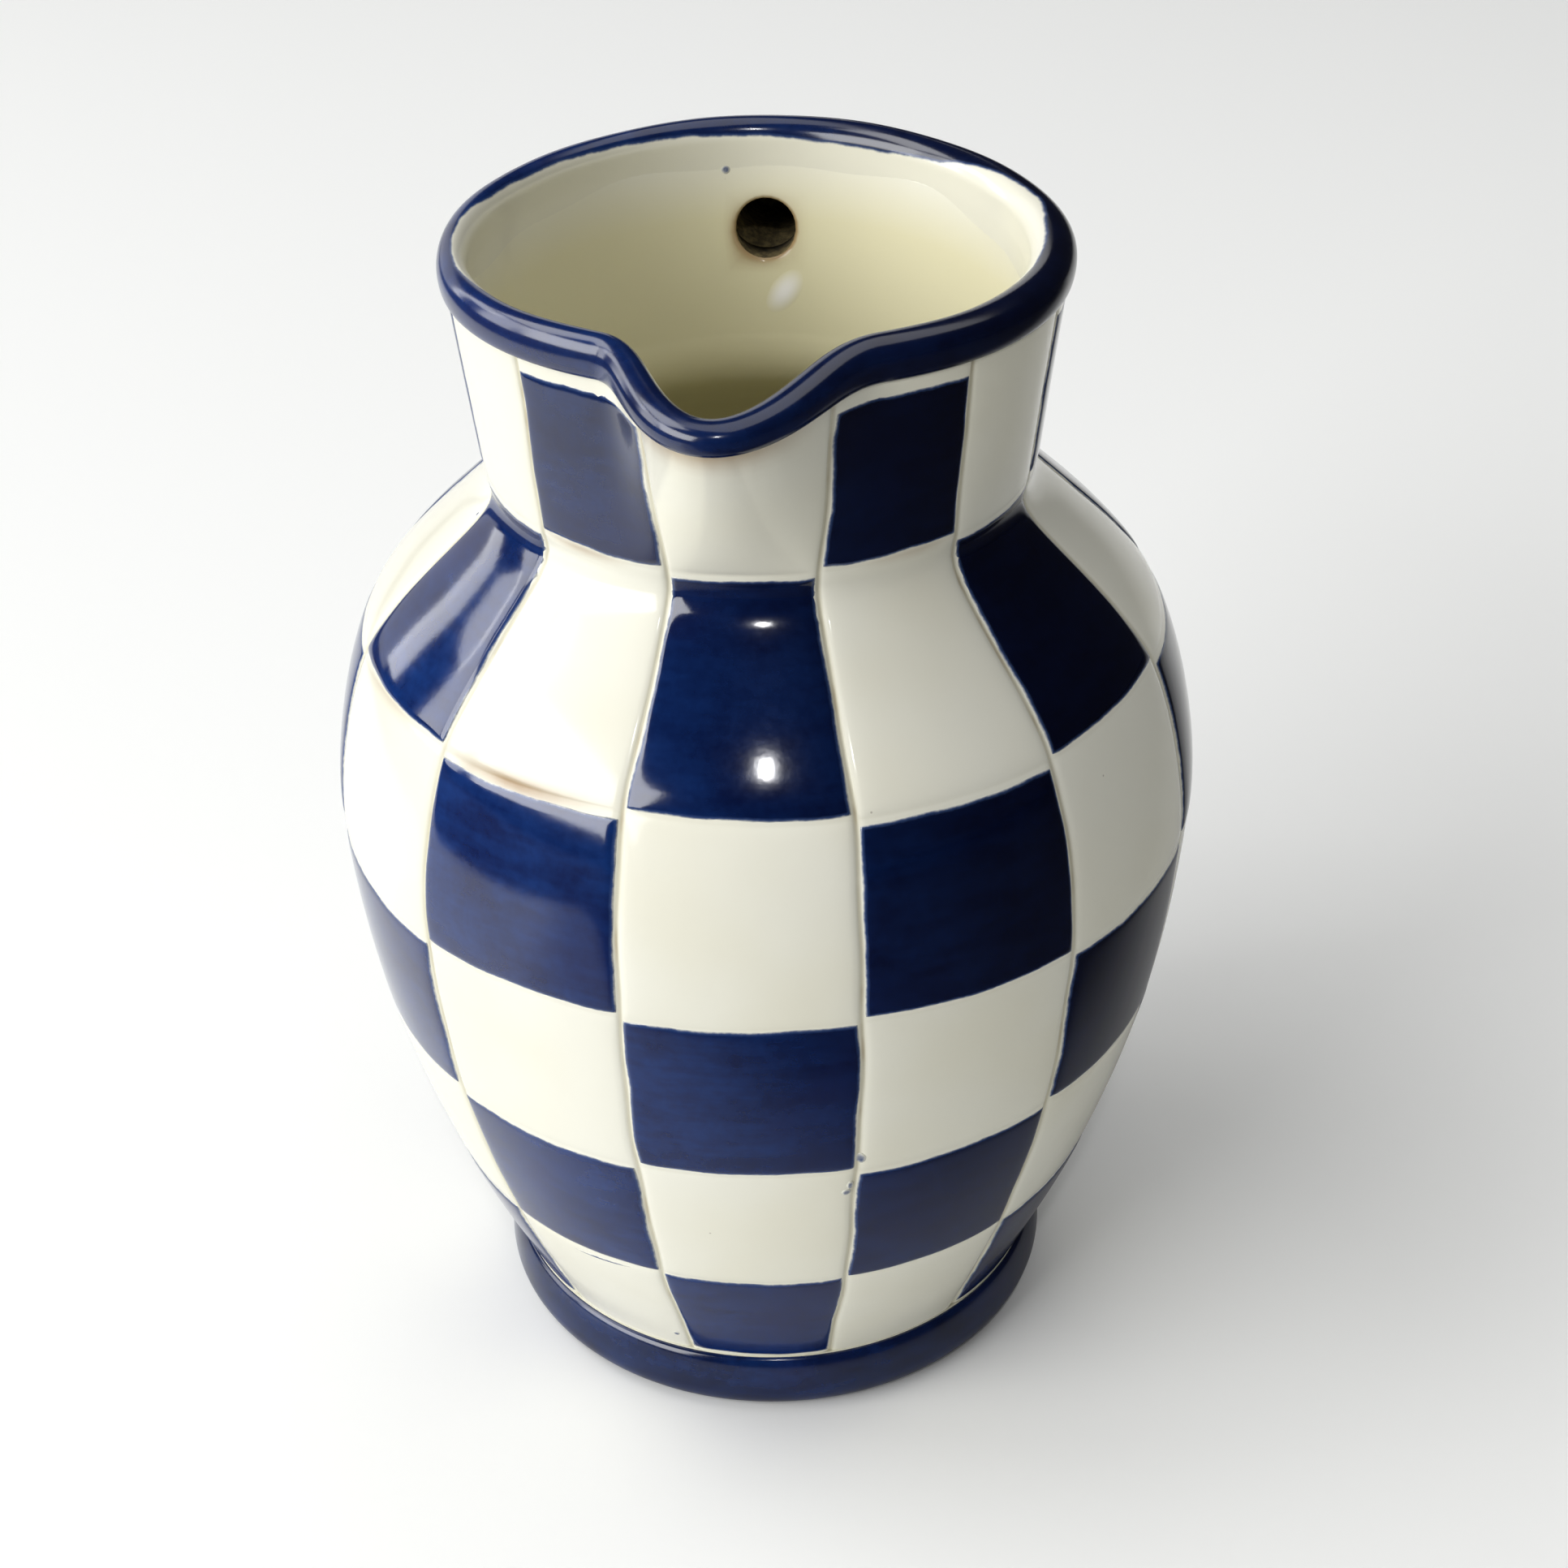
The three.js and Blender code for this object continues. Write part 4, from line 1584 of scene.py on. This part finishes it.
@dataclass
class PaintedGlint:
    """A painted highlight on the inside of the neck: a flat, whiter patch with a slight relief."""

    wall: JugWall
    angle: float = 177.4
    middle: float = 168.6
    half_width: float = 4.9
    half_length: float = 5.8
    lean: float = 0.5
    rise: float = 0.22
    sunk: float = 0.1
    sides: int = 32
    rings: int = 10

    def build(self, material: bpy.types.Material) -> bpy.types.Object:
        """Makes the painted highlight."""
        turn = round_turns(self.sides)
        skin = Skin()
        rows = []
        shares = np.linspace(0.1, 1.0, self.rings)
        over = (self.rise + self.sunk) * np.cos(shares * math.pi / 2) ** 2 - self.sunk
        under = np.full(self.rings, -2 * self.sunk)
        for share, lift in [*zip(shares, over), *zip(shares[::-1], under)]:
            z = self.middle + self.half_length * share * np.sin(turn)
            across = self.half_width * share * np.cos(turn) + self.lean * (z - self.middle)
            phi = math.radians(self.angle) - across / self.wall.radius(z)
            points = self.wall.inner(phi, z)
            points[:, :2] *= 1 - lift / np.linalg.norm(points[:, :2], axis=1, keepdims=True)
            # Painted highlight: the inner shade fades towards the middle, so the patch is whitest there.
            rows.append(skin.ring(points, inside=1 - max(lift, 0.0) / self.rise))
        skin.face(rows[0])
        skin.bands(rows)
        skin.face(rows[-1])
        return settle(skin.build("painted_glint", [material]), Slot.CREAM)


# Studio


@dataclass(frozen=True)
class PaleFloor:
    """A pale floor.

    In the glaze it mirrors as a sheet that ends in front and on the left, with a dim room past it, and that
    is brightest by the window and falls off into painted shade in front and on the right. Past the sheet's
    edge it is darker for bounced light too, as painted shade; the camera sees it evenly pale.
    """

    name: str = "pale_floor"
    half_side: float = 4.0
    drop: float = 0.0002
    pale: Color = (0.95, 0.955, 0.94)
    dim: Color = (0.03, 0.03, 0.035)
    past_edge: Color = (0.35, 0.35, 0.35)
    half_lit: Color = (0.42, 0.42, 0.42)
    sheet_turn: float = 14.0
    front_edge: float = -0.313
    left_edge: float = -0.43
    edge_blur: float = 0.02
    shade_turn: float = 45.0
    half_lit_from: float = -0.045
    half_lit_to: float = 0.04
    dim_to: float = 0.15
    roughness: float = 0.9
    shine: float = 0.1

    def material(self) -> bpy.types.Material:
        """Makes the floor's finish."""
        shader, material = Shader.of_material(self.name)
        place = shader.turned_place(-self.sheet_turn)
        blur = self.edge_blur
        front = shader.part(place, "Y").between(self.front_edge - blur, self.front_edge + blur)
        left = shader.part(place, "X").between(self.left_edge - blur, self.left_edge + blur)
        # Painted shade on the mirrored floor: half lit, then dim, towards the front and the right.
        shade = shader.part(shader.turned_place(self.shade_turn), "X")
        sheet = shader.mix(shade.between(self.half_lit_from, self.half_lit_to), self.pale, self.half_lit)
        sheet = shader.mix(shade.between(self.half_lit_to, self.dim_to), sheet, self.dim)
        mirrored = shader.node("ShaderNodeLightPath", out="Is Glossy Ray")
        sheet = shader.mix(mirrored, self.pale, sheet)
        # Past the sheet: dim in mirrors and darker for bounced light, as painted shade.
        past = shader.mix(mirrored, self.past_edge, self.dim)
        seen = shader.node("ShaderNodeLightPath", out="Is Camera Ray")
        color = shader.mix(seen, shader.mix(front * left, past, sheet), self.pale)
        shader.surface({"Base Color": color, "Roughness": self.roughness, "Specular IOR Level": self.shine})
        return material

    def build(self) -> bpy.types.Object:
        """Makes the floor."""
        side = self.half_side
        corners = [(-side, -side, -self.drop), (side, -side, -self.drop),
                   (side, side, -self.drop), (-side, side, -self.drop)]
        mesh = bpy.data.meshes.new("floor")
        mesh.from_pydata(corners, [], [(0, 1, 2, 3)])
        mesh.materials.append(self.material())
        floor = add_object("floor", mesh)
        return floor


@dataclass(frozen=True)
class Lamp:
    """A flat soft lamp that shines from its place towards a point."""

    name: str
    place: tuple[float, float, float]
    towards: tuple[float, float, float]
    width: float
    height: float
    watts: float
    mirrored_only: bool = False

    def build(self) -> bpy.types.Object:
        """Makes the lamp."""
        light = bpy.data.lights.new(self.name, "AREA")
        light.shape = "RECTANGLE"
        light.size = self.width
        light.size_y = self.height
        light.energy = self.watts
        lamp = add_object(self.name, light)
        lamp.visible_diffuse = not self.mirrored_only
        lamp.location = self.place
        aim = Vector(self.towards) - Vector(self.place)
        lamp.rotation_euler = aim.to_track_quat("-Z", "Y").to_euler()
        return lamp


@dataclass(frozen=True)
class PhotoCamera:
    """The camera: where it looks from, as angles and a distance from a point on the jug's axis."""

    azimuth: float = 3.51
    elevation: float = 33.69
    roll: float = -0.91
    distance: float = 472.0
    target_height: float = 97.6
    target_side: float = 2.8
    lens: float = 65.0
    nearest: float = 0.01

    def build(self) -> bpy.types.Object:
        """Makes the camera and gives it to the scene."""
        turn, rise, roll = (math.radians(angle) for angle in (self.azimuth, self.elevation, self.roll))
        level = Vector((math.cos(turn), math.sin(turn), 0.0))
        back = Vector((math.sin(turn) * math.cos(rise), -math.cos(turn) * math.cos(rise), math.sin(rise)))
        up = back.cross(level)
        right_rolled = level * math.cos(roll) + up * math.sin(roll)
        up_rolled = up * math.cos(roll) - level * math.sin(roll)
        target = level * self.target_side + Vector((0.0, 0.0, self.target_height))
        place = (target + back * self.distance) * MM + Vector(AXIS)
        turned = Matrix((right_rolled, up_rolled, back)).transposed().to_4x4()
        data = bpy.data.cameras.new("camera")
        data.lens = self.lens
        data.clip_start = self.nearest
        camera = add_object("camera", data)
        camera.matrix_world = Matrix.Translation(place) @ turned
        bpy.context.scene.camera = camera
        return camera


@dataclass(frozen=True)
class Studio:
    """Floor, window light, a small lamp by the camera and a dim room."""

    floor: PaleFloor = PaleFloor()
    camera: PhotoCamera = PhotoCamera()
    lamps: tuple[Lamp, ...] = (
        Lamp("window", (-1.66, -1.2, 0.97), (0.0, 0.0, 0.1), 1.9, 1.4, 50.0),
        Lamp("near_pane", (-1.7, 0.02, 0.71), (0.0, 0.0, 0.14), 0.62, 1.06, 7.8, mirrored_only=True),
        Lamp("far_pane", (-1.6, 0.58, 1.1), (0.0, 0.0, 0.14), 0.62, 0.46, 3.4, mirrored_only=True),
        Lamp("low_pane", (-1.51, 0.79, 0.49), (0.0, 0.0, 0.14), 0.22, 0.62, 1.6, mirrored_only=True),
        Lamp("pale_wall", (-0.9, 1.5, 0.5), (0.0, 0.0, 0.14), 2.0, 1.0, 5.0, mirrored_only=True),
        Lamp("skylight", (-1.6, 0.2, 2.3), (0.0, 0.0, 0.1), 1.4, 1.4, 24.0),
        Lamp("ceiling", (0.25, 0.35, 1.9), (0.0, 0.0, 0.0), 1.6, 1.6, 9.0),
        Lamp("camera_lamp", (0.06, -0.93, 1.12), (0.0, 0.0, 0.12), 0.05, 0.05, 1.5),
    )
    room: Color = (0.18, 0.18, 0.182)
    dark_room: Color = (0.02, 0.02, 0.023)
    backdrop: Color = (0.86, 0.865, 0.85)

    def light_world(self) -> None:
        """Gives the world a dim room, with a pale backdrop where the camera sees past the floor."""
        world = bpy.data.worlds.new("room")
        world.use_nodes = True
        bpy.context.scene.world = world
        shader = Shader(world.node_tree)
        seen = shader.node("ShaderNodeLightPath", out="Is Camera Ray")
        mirrored = shader.node("ShaderNodeLightPath", out="Is Glossy Ray")
        color = shader.mix(seen, shader.mix(mirrored, self.room, self.dark_room), self.backdrop)
        glow = shader.node("ShaderNodeBackground", values={"Color": color})
        shader.node("ShaderNodeOutputWorld", values={"Surface": glow})

    def build(self) -> None:
        """Makes the studio."""
        self.camera.build()
        self.floor.build()
        for lamp in self.lamps:
            lamp.build()
        self.light_world()
        bpy.context.scene.view_settings.view_transform = "Standard"


def main() -> None:
    """Builds the jug's pieces and the studio."""
    logging.basicConfig(level=logging.INFO, format="%(name)s: %(message)s")
    wall = JugWall()
    check = ScoredCheck(wall)
    cream = CreamGlaze().material()
    cobalt = CobaltGlaze().material()
    # The rim's and the foot's glazes carry the same painted shade by side and height.
    rim = CobaltGlaze("rim_glaze", shade_upwards=2.2, roughness=0.14).material()
    foot = CobaltGlaze("foot_glaze", lit_dark=(0.0007, 0.0035, 0.026), lit_light=(0.003, 0.02, 0.1),
                       roughness=0.12).material()
    # Whiter cream for the painted highlight inside the neck.
    white = CreamGlaze("glint_white_glaze", pale=(0.97, 0.965, 0.95), warm=(0.96, 0.955, 0.93)).material()
    clay = BareClay().material()
    # Dark clay of the drain hole and the handle's hollow, darkened further as painted shade of the deep
    # hole.
    bore = BareClay("bore_clay_and_shade", clay=(0.2, 0.155, 0.065), dust=(0.07, 0.053, 0.023)).material()
    CreamWall(check).build(cream, bore)
    PaintedGlint(wall).build(white)
    CobaltFields(check).build(cobalt)
    RolledRim(wall).build(rim)
    FootBand().build(foot, cream, clay)
    LoopHandle(wall).build(rim, bore)
    StraySpecks(check).build(cobalt)
    Studio().build()


if __name__ == "__main__":
    main()
